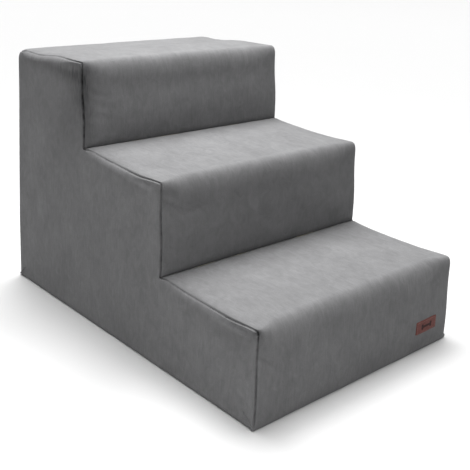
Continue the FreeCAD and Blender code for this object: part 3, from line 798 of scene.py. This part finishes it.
# %% Make the base cloth and its dots
DOT_PITCH, DOT_WIDE, DOT_HIGH, DOT_SIDES = 12 * MM, 4.2 * MM, 0.8 * MM, 8
BASE_IN, DOTS_IN = 3 * MM, 10 * MM
across, along = np.linspace(-1, 1, 81)[None, :], np.linspace(-1, 1, 121)[:, None]
sheet = settle(stacked(across * (HALF_WIDTH - BASE_IN), along * (BACK_Y - BASE_IN), BASE_TOP))
base_cloth = cloth_piece("base_cloth", sheet, BASE_TOP - DOT_HIGH)

columns = np.arange(DOTS_IN - HALF_WIDTH, HALF_WIDTH - DOTS_IN + MM, DOT_PITCH)
lines = np.arange(RISER_Y[0] + DOTS_IN, BACK_Y - DOTS_IN + MM, DOT_PITCH)
dot_x, dot_y = np.meshgrid(columns, lines)
dot_x = dot_x + (np.arange(len(lines)) % 2)[:, None] * DOT_PITCH / 2
centres = stacked(dot_x, dot_y, DOT_HIGH).reshape(-1, 3)
centres = centres[centres[:, 0] < HALF_WIDTH - DOTS_IN + 2 * MM]
dome = np.concatenate([
    np.column_stack([circle(DOT_SIDES) * DOT_WIDE / 2 * wide, np.full(DOT_SIDES, high)])
    for wide, high in ((0.45, -DOT_HIGH), (0.8, -0.5 * MM), (1.0, 0.1 * MM))
])
upright = np.tile(np.eye(3), (len(centres), 1, 1))
base_dots = copies("base_dots", dome, closed_rings(3, DOT_SIDES), centres, upright)
print(len(centres), "dots under a base cloth of", sheet.shape[:2])

# %% [markdown]
# ## The foam
# Three slabs of polyurethane foam, cut and glued one on the other, fill the cover. Nothing of
# them shows, but they are what gives it its shape: a wide round along each nose, a smaller one
# along the sides of the treads, and sharper cuts at the upright edges.

# %% Helpers for the foam
FOAM_IN = 4.5 * MM
FOAM_NOSE, FOAM_SIDE, FOAM_CUT = 26 * MM, 20 * MM, 6 * MM


def box_points(low, high, spacing):
    """Points and quads of a box's surface, welded at its edges."""
    lines = [a + (b - a) * bunched(max(8, int((b - a) / spacing))) for a, b in zip(low, high)]
    points, faces, start = [], [], 0
    for axis in range(3):
        a, b = (axis + 1) % 3, (axis + 2) % 3
        quads = grid_faces(len(lines[b]), len(lines[a]))
        for at, way in ((low[axis], -1), (high[axis], 1)):
            face = np.zeros((len(lines[b]), len(lines[a]), 3))
            face[..., a], face[..., b], face[..., axis] = lines[a][None, :], lines[b][:, None], at
            faces.append(quads[:, ::way] + start)
            points.append(face.reshape(-1, 3))
            start += len(points[-1])
    points = np.concatenate(points)
    keys = np.round(points / (0.05 * MM)).astype(np.int64)
    _, keep, number = np.unique(keys, axis=0, return_index=True, return_inverse=True)
    return points[keep], number.reshape(-1)[np.concatenate(faces)]


def round_edge(points, axes, corner, inwards, radius):
    """Rounds one edge: points beyond the arc's centre come in to the arc. corner is the edge's
    place on the two axes, and inwards the signs of the way in from it."""
    centre = np.array(corner) + np.array(inwards) * radius
    off = points[:, axes] - centre
    length = np.hypot(off[:, 0], off[:, 1])
    outside = (off * inwards < 0).all(1) & (length > radius)
    scale = np.where(outside, radius / np.maximum(length, 1e-9), 1)
    points[:, axes] = np.where(outside[:, None], centre + off * scale[:, None], points[:, axes])


# %% Make the foam slabs
foam = {}
for name in STEP_NAMES:
    low, high = (np.array(corner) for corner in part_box(f"foam_slab_{name}"))
    low += (FOAM_IN, FOAM_IN, 0)
    high -= (FOAM_IN, FOAM_IN, FOAM_IN if name == "upper" else 0)
    points, faces = box_points(low, high, 9 * MM)
    for sign, side in ((1, high[0]), (-1, low[0])):
        round_edge(points, [0, 2], (side, high[2]), (-sign, -1), FOAM_SIDE)
        round_edge(points, [0, 1], (side, low[1]), (-sign, 1), FOAM_CUT)
        round_edge(points, [0, 1], (side, high[1]), (-sign, -1), FOAM_CUT)
    round_edge(points, [1, 2], (low[1], high[2]), (1, -1), FOAM_NOSE)
    foam[name] = mesh_piece(f"foam_{name}", settle(points), faces)
    print(foam[name].name, len(points), "points")

# %% [markdown]
# ## The zip
# A coil zip is two nylon spirals sewn to two woven tapes. Each spiral is one thread of nylon
# wound flat, and the loops of one side lie between the loops of the other. The spirals are real
# helices here, because the loops are what makes a coil zip look like one. The slider, its pull
# and the metal stops are the CAD model's own parts.

# %% Make the zip's tapes
zip_tapes = {}
for part in ("upper", "lower"):
    low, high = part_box(f"zip_tape_{part}")
    x = np.linspace(-1, 1, 241)[None, :] * (HALF_WIDTH + 1.5 * MM)
    z = low.z + (high.z - low.z) * np.linspace(0, 1, 9)[:, None]
    y = high.y - 0.1 * MM + 0.06 * MM * ripple(x, (0.017, 0.029), 71)
    zip_tapes[part] = cloth_piece(f"tape_{part}", stacked(x, y, z), 0.5 * MM, turned=True)

# %% Wind the two coils
COIL_PITCH, MONOFILAMENT = 2.0 * MM, 0.62 * MM
TURN_POINTS, TUBE_SIDES, SQUARENESS, HEADS_CROSS = 9, 5, 0.7, 0.35 * MM


def squared_off(wave):
    """A wave with flatter tops: sign(w) |w|^SQUARENESS."""
    return np.sign(wave) * np.abs(wave) ** SQUARENESS


def coil_points(part):
    """A flat helix along X. With s the angle wound, the loop's height is a squared-off cosine,
    its depth the same with the sine, and x grows by one pitch a turn. The two sides are half a
    pitch apart, and their heads reach past the middle."""
    low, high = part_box(f"zip_coil_{part}")
    head = ZIP_Z - AWAY[part] * HEADS_CROSS
    back = high.z if part == "upper" else low.z
    thick = MONOFILAMENT / 2
    turns = int((high.x - low.x - MONOFILAMENT) / COIL_PITCH)
    s = np.arange(turns * TURN_POINTS) / TURN_POINTS * 2 * np.pi
    start = low.x + thick + (COIL_PITCH / 2 if part == "upper" else 0)
    line = np.stack([
        start + s / (2 * np.pi) * COIL_PITCH,
        (low.y + high.y) / 2 + (high.y - low.y - MONOFILAMENT) / 2 * squared_off(np.sin(s)),
        (back + head) / 2 + (abs(back - head) - MONOFILAMENT) / 2 * squared_off(np.cos(s)),
    ], -1)
    return line[line[:, 0] < high.x - thick]


def tube(line, radius, sides):
    """A tube round a line: line + radius (cos t a + sin t b), with a and b square to the line."""
    along = np.gradient(line, axis=0)
    along /= np.linalg.norm(along, axis=1, keepdims=True)
    a = np.cross(along, (1.0, 0.0, 0.0))
    a /= np.maximum(np.linalg.norm(a, axis=1, keepdims=True), 1e-9)
    return line[:, None] + radius * circle(sides) @ np.stack([a, np.cross(along, a)], 1)


coils = {}
for part in ("upper", "lower"):
    line = coil_points(part)
    wound = tube(line, MONOFILAMENT / 2, TUBE_SIDES)
    coils[part] = mesh_piece(f"coil_{part}", wound, closed_rings(len(line), TUBE_SIDES))
    print(coils[part].name, len(line) // TURN_POINTS, "turns")

# %% [markdown]
# ## Stitches
# A row of stitches is one mesh of small beads, each laid along the seam. The tapes are sewn to
# the back panels beside the folds, a little past the ends of the zip.

# %% Helpers for stitches


def bead(length, width, height, sides=6, rings=4):
    """A stitch along X: width cos(s) and height sin(s) round an ellipse that narrows to its
    ends as sqrt(1 - t^4)."""
    t = np.linspace(-1, 1, rings + 2)[1:-1][:, None]
    round_it = circle(sides) * (width / 2, height / 2)
    wide = np.sqrt(1 - t**4)[..., None] * round_it
    body = np.concatenate([np.broadcast_to(t[..., None] * length / 2, (rings, sides, 1)), wide], -1)
    tips = np.array([[-length / 2, 0, 0], [length / 2, 0, 0]])
    first, last, top = rings * sides, rings * sides + 1, (rings - 1) * sides
    faces = ring_faces(rings, sides).tolist()
    for s in range(sides):
        after = (s + 1) % sides
        faces += [[after, s, first], [top + s, top + after, last]]
    return np.concatenate([body.reshape(-1, 3), tips]), faces


def along_frames(ahead, out):
    """Frames whose first axis runs ahead and whose third points out."""
    first = ahead / np.linalg.norm(ahead, axis=1, keepdims=True)
    second = np.cross(out, first)
    second /= np.linalg.norm(second, axis=1, keepdims=True)
    return np.stack([first, second, np.cross(first, second)], -1)


# %% Sew the tapes to the back panels
STITCH_LONG, STITCH_PITCH, THREAD = 2.3 * MM, 3.1 * MM, 0.42 * MM
PAST_ZIP, PROUD = 8 * MM, 0.1 * MM
u = np.arange(-ZIP_HALF - PAST_ZIP, ZIP_HALF + PAST_ZIP, STITCH_PITCH) / HALF_WIDTH
half_step = STITCH_PITCH / 2 / HALF_WIDTH
seams = []
for part in ("upper", "lower"):
    heights, columns, grid = cover_grids[f"back_{part}"]
    before, at, after = (
        sample_grid(grid, heights, columns, np.full_like(u, STITCH_IN), u + shift)
        for shift in (-half_step, 0, half_step)
    )
    frames = along_frames(after - before, np.tile((0.0, 1.0, 0.0), (len(u), 1)))
    shape, faces = bead(STITCH_LONG, THREAD, THREAD)
    seams.append(copies(f"zip_stitches_{part}", shape, faces, at + (0, PROUD, 0), frames))
    print(seams[-1].name, len(u), "stitches")

# %% [markdown]
# ## The labels
# A small leather patch is sewn low on the first riser, near its right end. It is cut from thin
# leather, so its edge is rounded over, and it carries a plain bone shape pressed into it. The
# patch is a grid of heights laid on the riser's own finished surface, so it bends with it. A
# blank satin care label hangs inside the cover, from the lower side of the zip.

# %% Helpers for the leather label
label_low, label_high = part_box("label_patch")
LABEL_THICK, LABEL_CORNER, LABEL_EDGE, SUNK = 1.2 * MM, 1.5 * MM, 0.7 * MM, 0.2 * MM
SEW_IN, SEW_CORNER, SEW_PITCH = 2 * MM, 1.2 * MM, 3.0 * MM
BONE_DEEP, SEAM_DEEP = 0.35 * MM, 0.22 * MM


def on_riser(x, z, out=0.0):
    """Points of the first riser's finished cloth at x and z, moved out along its normal."""
    rows, columns, grid = cover_grids["step_lower"]
    u = x / (HALF_WIDTH - SEAM_IN)
    v = (z - BASE_TOP) / (TREAD_Z[0] - NOSE_TALL * nose_radius(0, u) - BASE_TOP)
    reach = 0.02
    place = {
        (a, b): sample_grid(grid, rows, columns, v + b * reach, u + a * reach)
        for a in (-1, 0, 1) for b in (-1, 0, 1)
    }
    normal = np.cross(place[1, 0] - place[-1, 0], place[0, 1] - place[0, -1])
    normal /= np.linalg.norm(normal, axis=-1, keepdims=True)
    return sum(place.values()) / 9 + normal * np.asarray(out)[..., None]


def bone(x, z, long, wide):
    """Distance to a bone's outline, below 0 inside: a bar and two round ends at each end."""
    bar = np.maximum(np.abs(x) - long / 2, np.abs(z) - wide * 0.22)
    ends = np.hypot(np.abs(x) - long / 2, np.abs(z) - wide * 0.26) - wide * 0.3
    return np.minimum(bar, ends)


def rounded(a, half_size, corner):
    """Points of a grid from -1 to 1 spread over a rounded rectangle, and their distances from
    its rim. Beyond the corners' centres a square's points are drawn in to a quarter circle."""
    flat = a * half_size
    core = np.clip(np.abs(flat), 0, half_size - corner)
    off = np.abs(flat) - core
    length = np.hypot(*np.moveaxis(off, -1, 0))
    off = off * np.where(length > 0, off.max(-1) / np.maximum(length, 1e-9), 1)[..., None]
    flat = np.sign(flat) * (core + off)
    from_sides = (half_size - np.abs(flat)).min(-1)
    return flat, np.minimum(from_sides, corner - np.hypot(*np.moveaxis(off, -1, 0)))


# %% Make the leather label
half_size = np.array([label_high.x - label_low.x, label_high.z - label_low.z]) / 2
centre = np.array([label_low.x + label_high.x, label_low.z + label_high.z]) / 2
a = stacked(*np.meshgrid(np.linspace(-1, 1, 141), np.linspace(-1, 1, 61)))
flat, from_rim = rounded(a, half_size, LABEL_CORNER)
height = LABEL_THICK * np.sqrt(1 - (1 - np.clip(from_rim / LABEL_EDGE, 0, 1)) ** 2)
pressed_and_painted_shade = smooth(0.5 - bone(flat[..., 0], flat[..., 1], 20 * MM, 8 * MM) / (0.5 * MM))
height = height - BONE_DEEP * pressed_and_painted_shade - SEAM_DEEP * bell(from_rim - SEW_IN, 0.35 * MM)
x, z = np.moveaxis(flat + centre, -1, 0)
top, under = on_riser(x, z, height), on_riser(x, z, -SUNK)
rows, cols = top.shape[:2]
numbers = np.arange(rows * cols).reshape(rows, cols)
loop = np.concatenate([numbers[0, :-1], numbers[:-1, -1], numbers[-1, :0:-1], numbers[:0:-1, 0]])
rim = quads_of(np.stack([np.append(loop, loop[0]), np.append(loop, loop[0]) + rows * cols]))
faces = [grid_faces(rows, cols), grid_faces(rows, cols)[:, ::-1] + rows * cols, rim[:, ::-1]]
label = mesh_piece("leather_label", np.stack([top, under]), np.concatenate(faces))
keep_number(label, "pressed_and_painted_shade", np.stack([pressed_and_painted_shade, pressed_and_painted_shade]))
print(label.name, (rows, cols), "rows and columns")


# %% Sew the label on
def round_the_edge(half_x, half_z, corner, pitch):
    """Places and directions along a rounded rectangle, a pitch apart."""
    straight_x, straight_z = 2 * (half_x - corner), 2 * (half_z - corner)
    quarter = corner * np.pi / 2
    runs = [straight_x, quarter, straight_z, quarter] * 2
    count = int(sum(runs) / pitch)
    s = (np.arange(count) + 0.5) * sum(runs) / count
    starts = np.concatenate([[0], np.cumsum(runs)])
    k = np.clip(np.searchsorted(starts, s, side="right") - 1, 0, 7)
    t, curved = s - starts[k], k % 2 == 1
    angle = k // 2 * np.pi / 2 + np.where(curved, t / corner, 0)
    signs = np.array([(-1, -1), (1, -1), (1, 1), (-1, 1)])[(k + 1) // 2 % 4]
    out = np.stack([np.sin(angle), -np.cos(angle)], -1)
    ahead = np.stack([np.cos(angle), np.sin(angle)], -1)
    centre = signs * (half_x - corner, half_z - corner)
    return centre + out * corner + ahead * np.where(curved, 0, t)[:, None], ahead


places, ahead = round_the_edge(*(half_size - SEW_IN), SEW_CORNER, SEW_PITCH)
x, z = (places + centre).T
at = on_riser(x, z, LABEL_THICK - 0.05 * MM)
forward = on_riser(x + ahead[:, 0] * MM, z + ahead[:, 1] * MM) - on_riser(x, z)
shape, faces = bead(2.2 * MM, 0.6 * MM, 0.5 * MM)
frames = along_frames(forward, at - on_riser(x, z))
label_stitches = copies("label_stitches", shape, faces, at, frames)
print(len(places), "label stitches")

# %% Hang the care label inside
care_low, care_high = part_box("care_label")
a, b = np.linspace(0, 1, 25)[None, :], np.linspace(0, 1, 45)[:, None]
curl = 0.1 * MM * np.sin(np.pi * b) * np.cos(2 * np.pi * a)
satin = stacked(
    care_low.x + (care_high.x - care_low.x) * a,
    (care_low.y + care_high.y) / 2 + 0.1 * MM + curl,
    care_low.z + (care_high.z - care_low.z) * b,
)
care_label = cloth_piece("satin_label", satin, 0.25 * MM, turned=True)

# %% [markdown]
# # Materials
# Each finish starts from what the real one is. Colours are given as the screen shows them, in
# hex, and turned to linear light by one function. Patterns are sized in millimetres: a texture
# reads its coordinates through a Mapping node that scales metres up to that size.

# %% Helpers for materials


def linear(hex_colour):
    """An sRGB hex colour as linear RGBA."""
    parts = [int(hex_colour[i : i + 2], 16) / 255 for i in (0, 2, 4)]
    return (*(c / 12.92 if c <= 0.04045 else ((c + 0.055) / 1.055) ** 2.4 for c in parts), 1.0)


def add(tree, kind, values=None, links=None, stops=(), **settings):
    """Adds a node, sets its settings, socket values and a ramp's places and hex colours, and
    links its sockets from outputs."""
    node = tree.nodes.new("ShaderNode" + kind)
    while len(stops) > 2 and len(node.color_ramp.elements) < len(stops):
        node.color_ramp.elements.new(0.5)
    for k, (place, colour) in enumerate(stops):
        element = node.color_ramp.elements[k]
        element.position, element.color = place, linear(colour)
    for key, value in settings.items():
        setattr(node, key, value)
    for socket, value in (values or {}).items():
        node.inputs[socket].default_value = value
    for socket, source in (links or {}).items():
        tree.links.new(source, node.inputs[socket])
    return node


def new_material(name, on_cloth=False):
    """An empty material, its node tree, and the coordinates that its patterns read: the cloth's
    own UV map, or the object's."""
    material = bpy.data.materials.new(name)
    material.use_nodes = True
    tree = material.node_tree
    tree.nodes.clear()
    if on_cloth:
        return material, tree, add(tree, "UVMap", uv_map="cut").outputs["UV"]
    return material, tree, add(tree, "TexCoord").outputs["Object"]


def pattern(tree, kind, source, size, values=None, turn=0.0):
    """A texture of any kind whose features are size (x, y, z) millimetres apart."""
    x, y, z = (*size, *size[-1:] * 2)[:3]
    placing = {"Scale": (1000 / x, 1000 / y, 1000 / z), "Rotation": (0, 0, math.radians(turn))}
    sized = add(tree, "Mapping", placing, {"Vector": source}).outputs["Vector"]
    return add(tree, kind, {"Scale": 1.0, **(values or {})}, {"Vector": sized})


def finish(tree, colour, bumps, values, links=None):
    """Ends a material: bumps of strength, depth in mm and height, one over another, then the
    shader and the output."""
    links = {"Base Color": colour, **(links or {})}
    for strength, deep, height in bumps:
        relief = {"Strength": strength, "Distance": deep * MM}
        below = {"Normal": links["Normal"]} if "Normal" in links else {}
        bump = add(tree, "Bump", relief, {"Height": height, **below})
        links["Normal"] = bump.outputs["Normal"]
    shader = add(tree, "BsdfPrincipled", values, links)
    add(tree, "OutputMaterial", links={"Surface": shader.outputs["BSDF"]})


def wear(pieces, material):
    """Gives pieces their material."""
    for piece in pieces:
        piece.data.materials.clear()
        piece.data.materials.append(material)
    print(material.name, "on", len(pieces), "pieces")


# %% [markdown]
# ## Velour
# The cover is a short-pile polyester velour. Its pile makes it soft and matt face on and a
# little lighter at a glancing angle, which is what sheen does. Brushing the pile leaves faint
# streaks along the cloth and cloudy patches a few centimetres wide.

# %% Velour material
velour, tree, cut = new_material("grey_polyester_velour", on_cloth=True)
NOISES = [((1.7,), 2.0, 0.0), ((2.6, 22), 3.0, 0.4), ((13, 19), 3.0, 1.2), ((55, 75), 2.0, 0.5)]
pile, strokes, brushed, clouds = (
    pattern(tree, "TexNoise", cut, size, {"Detail": detail, "Distortion": bent}).outputs["Fac"]
    for size, detail, bent in NOISES
)
tone = brushed
for share, other in ((0.45, clouds), (0.28, strokes), (0.22, pile)):
    tone = add(tree, "Mix", {"Factor": share}, {"A": tone, "B": other}).outputs["Result"]
stops = [(0.34, "787879"), (0.5, "868687"), (0.66, "939394")]
colour = add(tree, "ValToRGB", links={"Fac": tone}, stops=stops).outputs["Color"]
# Painted shade: the cover's per-point numbers, made uneven by the strokes, mix in a dark grey for
# the shade in the seams' grooves, under the treads' edges and in the shaded patches, and for a few
# smudges of brushed nap.
pressed_and_painted_shade = add(tree, "Attribute", attribute_name="pressed_and_painted_shade").outputs["Fac"]
between = {"From Min": 0.3, "From Max": 0.7, "To Min": 0.5, "To Max": 1.35}
uneven = add(tree, "MapRange", between, {"Value": strokes}).outputs["Result"]
pressed_and_painted_shade = add(
    tree, "Math", links={0: pressed_and_painted_shade, 1: uneven}, operation="MULTIPLY", use_clamp=True
).outputs[0]
mixed = add(tree, "Mix", {7: linear("262627")}, {0: pressed_and_painted_shade, 6: colour}, data_type="RGBA")
fibres = {
    "Roughness": 0.92, "IOR": 1.5, "Specular IOR Level": 0.15, "Sheen Weight": 0.35,
    "Sheen Roughness": 0.45, "Sheen Tint": linear("e8e8ea"),
}
finish(tree, mixed.outputs[2], [(0.3, 0.4, pile), (0.3, 0.7, strokes)], fibres)
wear(cover.values(), velour)

# %% [markdown]
# ## Base cloth, tape and satin
# The base cloth is a plain-weave polyester, darker than the velour. The zip tape is a herringbone
# weave, dyed to match the velour, and the care label is white satin, whose long floating threads
# make it smooth and a little glossy along one direction.

# %% Woven materials
base_weave, tree, cut = new_material("plain_weave_polyester", on_cloth=True)
check = pattern(tree, "TexChecker", cut, (1.2,)).outputs["Fac"]
warp = pattern(tree, "TexNoise", cut, (2, 20), {"Detail": 2.0}).outputs["Fac"]
mixed = add(tree, "Mix", {"Factor": 0.4}, {"A": check, "B": warp}).outputs["Result"]
stops = [(0.1, "2b2b2d"), (0.9, "3c3c3f")]
colour = add(tree, "ValToRGB", links={"Fac": mixed}, stops=stops).outputs["Color"]
finish(tree, colour, [(0.4, 0.2, mixed)], {"Roughness": 0.85, "Specular IOR Level": 0.3})
wear([base_cloth], base_weave)

herringbone, tree, cut = new_material("herringbone_polyester_tape", on_cloth=True)
wave = {"Scale": 0.5, "Distortion": 0.6, "Detail": 1.0}
ribs = pattern(tree, "TexWave", cut, (1.1,), wave, turn=45).outputs["Fac"]
stops = [(0.1, "4a4a4c"), (0.9, "68686a")]
colour = add(tree, "ValToRGB", links={"Fac": ribs}, stops=stops).outputs["Color"]
finish(tree, colour, [(0.5, 0.2, ribs)], {"Roughness": 0.7, "Specular IOR Level": 0.35})
wear(zip_tapes.values(), herringbone)

satin_weave, tree, cut = new_material("white_polyester_satin", on_cloth=True)
floats = pattern(tree, "TexNoise", cut, (0.6, 4), {"Detail": 2.0}).outputs["Fac"]
stops = [(0.3, "dcdcda"), (0.7, "f0f0ee")]
colour = add(tree, "ValToRGB", links={"Fac": floats}, stops=stops).outputs["Color"]
finish(tree, colour, [(0.2, 0.1, floats)], {"Roughness": 0.38, "Anisotropic": 0.5})
wear([care_label], satin_weave)

# %% [markdown]
# ## Foam, PVC, nylon and thread
# The foam is cut polyurethane, cream with open cells. The dots are soft PVC, printed on and cured.
# The coil is extruded nylon and the threads are spun polyester. Each is one even colour with a
# fine grain, so one recipe with other numbers makes them all.

# %% Foam, PVC, nylon and thread
EVEN = [
    # name, dark and light colour, grain and bump depth in mm, roughness, specular, sheen, pieces
    ("cut_polyurethane_foam", "d8cfb4", "ece5cf", 1.2, 0.5, 0.95, 0.2, 0.1, foam.values()),
    ("printed_pvc_dots", "1b1b1c", "262628", 0.9, 0.05, 0.45, 0.5, 0.0, [base_dots]),
    ("extruded_nylon_coil", "4f4f51", "636366", 2.5, 0.03, 0.32, 0.5, 0.0, coils.values()),
    ("spun_polyester_thread", "5a5a5c", "77777a", 0.5, 0.15, 0.7, 0.3, 0.2, seams),
    ("label_thread_polyester", "9a736b", "b8938a", 0.5, 0.15, 0.65, 0.3, 0.2, [label_stitches]),
]
for name, dark, light, grain, deep, roughness, specular, sheen, pieces in EVEN:
    material, tree, place = new_material(name)
    noise = pattern(tree, "TexNoise", place, (grain,), {"Detail": 3.0}).outputs["Fac"]
    stops = [(0.3, dark), (0.7, light)]
    colour = add(tree, "ValToRGB", links={"Fac": noise}, stops=stops).outputs["Color"]
    values = {"Roughness": roughness, "Specular IOR Level": specular, "Sheen Weight": sheen}
    finish(tree, colour, [(0.6, deep, noise)], values)
    wear(pieces, material)

# %% [markdown]
# ## Leather and metal
# The label is thin chrome-tanned leather dyed a reddish brown, with fine grain, burnt darker
# where the bone is pressed in. The zip's metal parts are zinc die castings, tumbled and nickel
# plated, so they are bright with a soft, slightly uneven gloss.

# %% Leather and nickel plate
leather, tree, place = new_material("dyed_chrome_tanned_leather")
grain = pattern(tree, "TexVoronoi", place, (0.9,)).outputs["Distance"]
cloud = pattern(tree, "TexNoise", place, (7,), {"Detail": 3.0}).outputs["Fac"]
stops = [(0.3, "7a433d"), (0.7, "8a514a")]
dyed = add(tree, "ValToRGB", links={"Fac": cloud}, stops=stops).outputs["Color"]
# On the label these numbers mark only the pressed bone, burnt darker.
pressed_and_painted_shade = add(tree, "Attribute", attribute_name="pressed_and_painted_shade").outputs["Fac"]
burnt = add(tree, "Mix", {7: linear("3c1c19")}, {6: dyed, 0: pressed_and_painted_shade}, data_type="RGBA")
values = {"Roughness": 0.55, "Specular IOR Level": 0.4}
finish(tree, burnt.outputs[2], [(0.35, 0.15, grain)], values)
wear([label], leather)

nickel, tree, place = new_material("nickel_plated_zinc_casting")
worn = pattern(tree, "TexNoise", place, (1.4,), {"Detail": 4.0}).outputs["Fac"]
stops = [(0.3, "a9a7a2"), (0.7, "c4c2bd")]
colour = add(tree, "ValToRGB", links={"Fac": worn}, stops=stops).outputs["Color"]
rough = add(tree, "MapRange", {"To Min": 0.2, "To Max": 0.38}, {"Value": worn}).outputs["Result"]
finish(tree, colour, [(0.15, 0.1, worn)], {"Metallic": 1.0}, {"Roughness": rough})
METAL = ("zip_slider", "zip_pull", "zip_top_stops", "zip_bottom_stop")
wear([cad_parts[name] for name in METAL], nickel)

# %% [markdown]
# # What each piece stands for
# Every new piece rides on the cover and foam and takes the place of its CAD solid, where it has one.


def stands_for(piece, slot, *nodes):
    """piece rides on the stair and replaces its CAD nodes, if any. slot is not used."""
    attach(piece, STAIR)
    if nodes:
        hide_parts(*nodes)


for name in STEP_NAMES:
    low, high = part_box(f"step_panel_{name}")
    stands_for(cover[name], "cover_fabric", f"step_panel_{name}")
    stands_for(foam[name], "foam", f"foam_slab_{name}")
for side in ("left", "right"):
    panel = cover[f"side_{side}"]
    stands_for(panel, "cover_fabric", f"side_panel_{side}")
for part, stitches in zip(("upper", "lower"), seams):
    low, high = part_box(f"back_panel_{part}")
    panel, ribbon = cover[f"back_{part}"], zip_tapes[part]
    stands_for(panel, "cover_fabric", f"back_panel_{part}")
    stands_for(ribbon, "zip_tape", f"zip_tape_{part}")
    low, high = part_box(f"zip_tape_{part}")
    stands_for(coils[part], "zip_coil", f"zip_coil_{part}")
    stands_for(stitches, "label_thread")
stands_for(base_cloth, "base_fabric", "base_panel")
stands_for(base_dots, "base_fabric")
stands_for(label, "label_leather", "label_patch")
stands_for(label_stitches, "label_thread", "label_thread")
stands_for(care_label, "care_label", "care_label")

# %% [markdown]
# # Floor, light and camera
# A pale paper floor curves up far behind into a wall, so there is no horizon. A darker sheet just
# under it, which the camera can't see, is what gives light back to the stair. The light is a soft
# sun overhead, a panel near the top step, a small low fill and a weak even sky, which leaves the
# treads much brighter than the risers and puts a soft shadow round the foot.

# %% The floor
SIDES = 96


def paper_sweep(name, shade, below, flat, bend, reach):
    """A bowl of matt paper: level out to flat, then rising as (radius - flat)^2 / (2 bend)."""
    radii = np.concatenate([np.linspace(0.01, flat, 12), np.linspace(flat, reach, 30)[1:]])
    heights = np.clip(radii - flat, 0, None) ** 2 / (2 * bend) - below
    x, y = np.moveaxis(radii[:, None, None] * circle(SIDES), -1, 0)
    faces = ring_faces(len(radii), SIDES)[:, ::-1].tolist() + [list(range(SIDES))]
    sweep = mesh_piece(name, stacked(x, y, heights[:, None]), faces)
    paper, tree, place = new_material(f"matt_paper_{name}")
    fibre = pattern(tree, "TexNoise", place, (1.1,), {"Detail": 3.0}).outputs["Fac"]
    stops = [(0.3, shade), (0.7, shade)]
    colour = add(tree, "ValToRGB", links={"Fac": fibre}, stops=stops).outputs["Color"]
    finish(tree, colour, [], {"Roughness": 0.95, "Specular IOR Level": 0.1})
    wear([sweep], paper)
    return sweep


floor = paper_sweep("floor", "e9e9e9", 0.0, 5.0, 10.0, 30.0)
floor.visible_diffuse = floor.visible_glossy = floor.visible_shadow = False
table = paper_sweep("table_under_the_paper", "a8a8a8", 1 * MM, 14.0, 1.5, 19.0)
table.visible_camera = False

# %% The sky
world = bpy.data.worlds.new("soft_fill")
bpy.context.scene.world = world
world.use_nodes = True
tree = world.node_tree
tree.nodes.clear()
place = add(tree, "TexCoord").outputs["Generated"]
height = add(tree, "SeparateXYZ", links={"Vector": place}).outputs["Z"]
height = add(tree, "MapRange", {"From Min": -0.6, "From Max": 0.6}, {"Value": height})
stops = [(0.0, "808080"), (0.5, "a0a0a0"), (1.0, "ffffff")]
sky = add(tree, "ValToRGB", links={"Fac": height.outputs["Result"]}, stops=stops).outputs["Color"]
background = add(tree, "Background", {"Strength": 0.14}, {"Color": sky})
add(tree, "OutputWorld", links={"Surface": background.outputs["Background"]})


# %% The lights
def lamp(name, kind, energy):
    """A light of its own kind and energy, and the object that holds it."""
    light = bpy.data.lights.new(name, kind)
    light.energy = energy
    holder = bpy.data.objects.new(name, light)
    bpy.context.scene.collection.objects.link(holder)
    return light, holder


sun, overhead = lamp("overhead", "SUN", 3.5)
sun.angle = math.radians(46)
overhead.rotation_euler = (math.radians(-13), math.radians(10), 0)
SOFTBOXES = [
    # name, place, aim, size and watts
    ("near_panel", (0.0, 0.22, 0.98), (0, 0.1, 0.3), (0.5, 0.5), 4.3),
    ("low_fill", (-0.8, -0.7, 0.08), (-0.1, -0.1, 0.05), (0.6, 0.12), 0.9),
]
for name, place, aim, size, watts in SOFTBOXES:
    light, holder = lamp(name, "AREA", watts)
    light.shape, light.size, light.size_y = "RECTANGLE", *size
    holder.location = place
    holder.rotation_euler = (Vector(aim) - Vector(place)).to_track_quat("-Z", "Y").to_euler()
    holder.visible_camera = False

# %% The camera
# Azimuth and elevation are where the camera stands round the stair, and roll is its tilt.
AZIMUTH, ELEVATION, ROLL = (math.radians(a) for a in (-42.8, 21.0, 2.77))
DISTANCE, AIM = 1.282, np.array([-0.004, -0.031, 0.134])
level = math.cos(ELEVATION)
back = np.array([math.sin(AZIMUTH) * level, -math.cos(AZIMUTH) * level, math.sin(ELEVATION)])
right = np.cross((0, 0, 1), back)
right /= np.linalg.norm(right)
upwards = np.cross(back, right)
tilted = math.cos(ROLL) * right + math.sin(ROLL) * upwards
upwards = math.cos(ROLL) * upwards - math.sin(ROLL) * right
lens = bpy.data.cameras.new("camera")
lens.lens, lens.sensor_width = 62.2, 36
camera = bpy.data.objects.new("camera", lens)
bpy.context.scene.collection.objects.link(camera)
bpy.context.scene.camera = camera
columns = np.column_stack([tilted, upwards, back, AIM + back * DISTANCE])
camera.matrix_world = Matrix([*columns.tolist(), (0, 0, 0, 1)])
bpy.context.scene.view_settings.view_transform = "Standard"
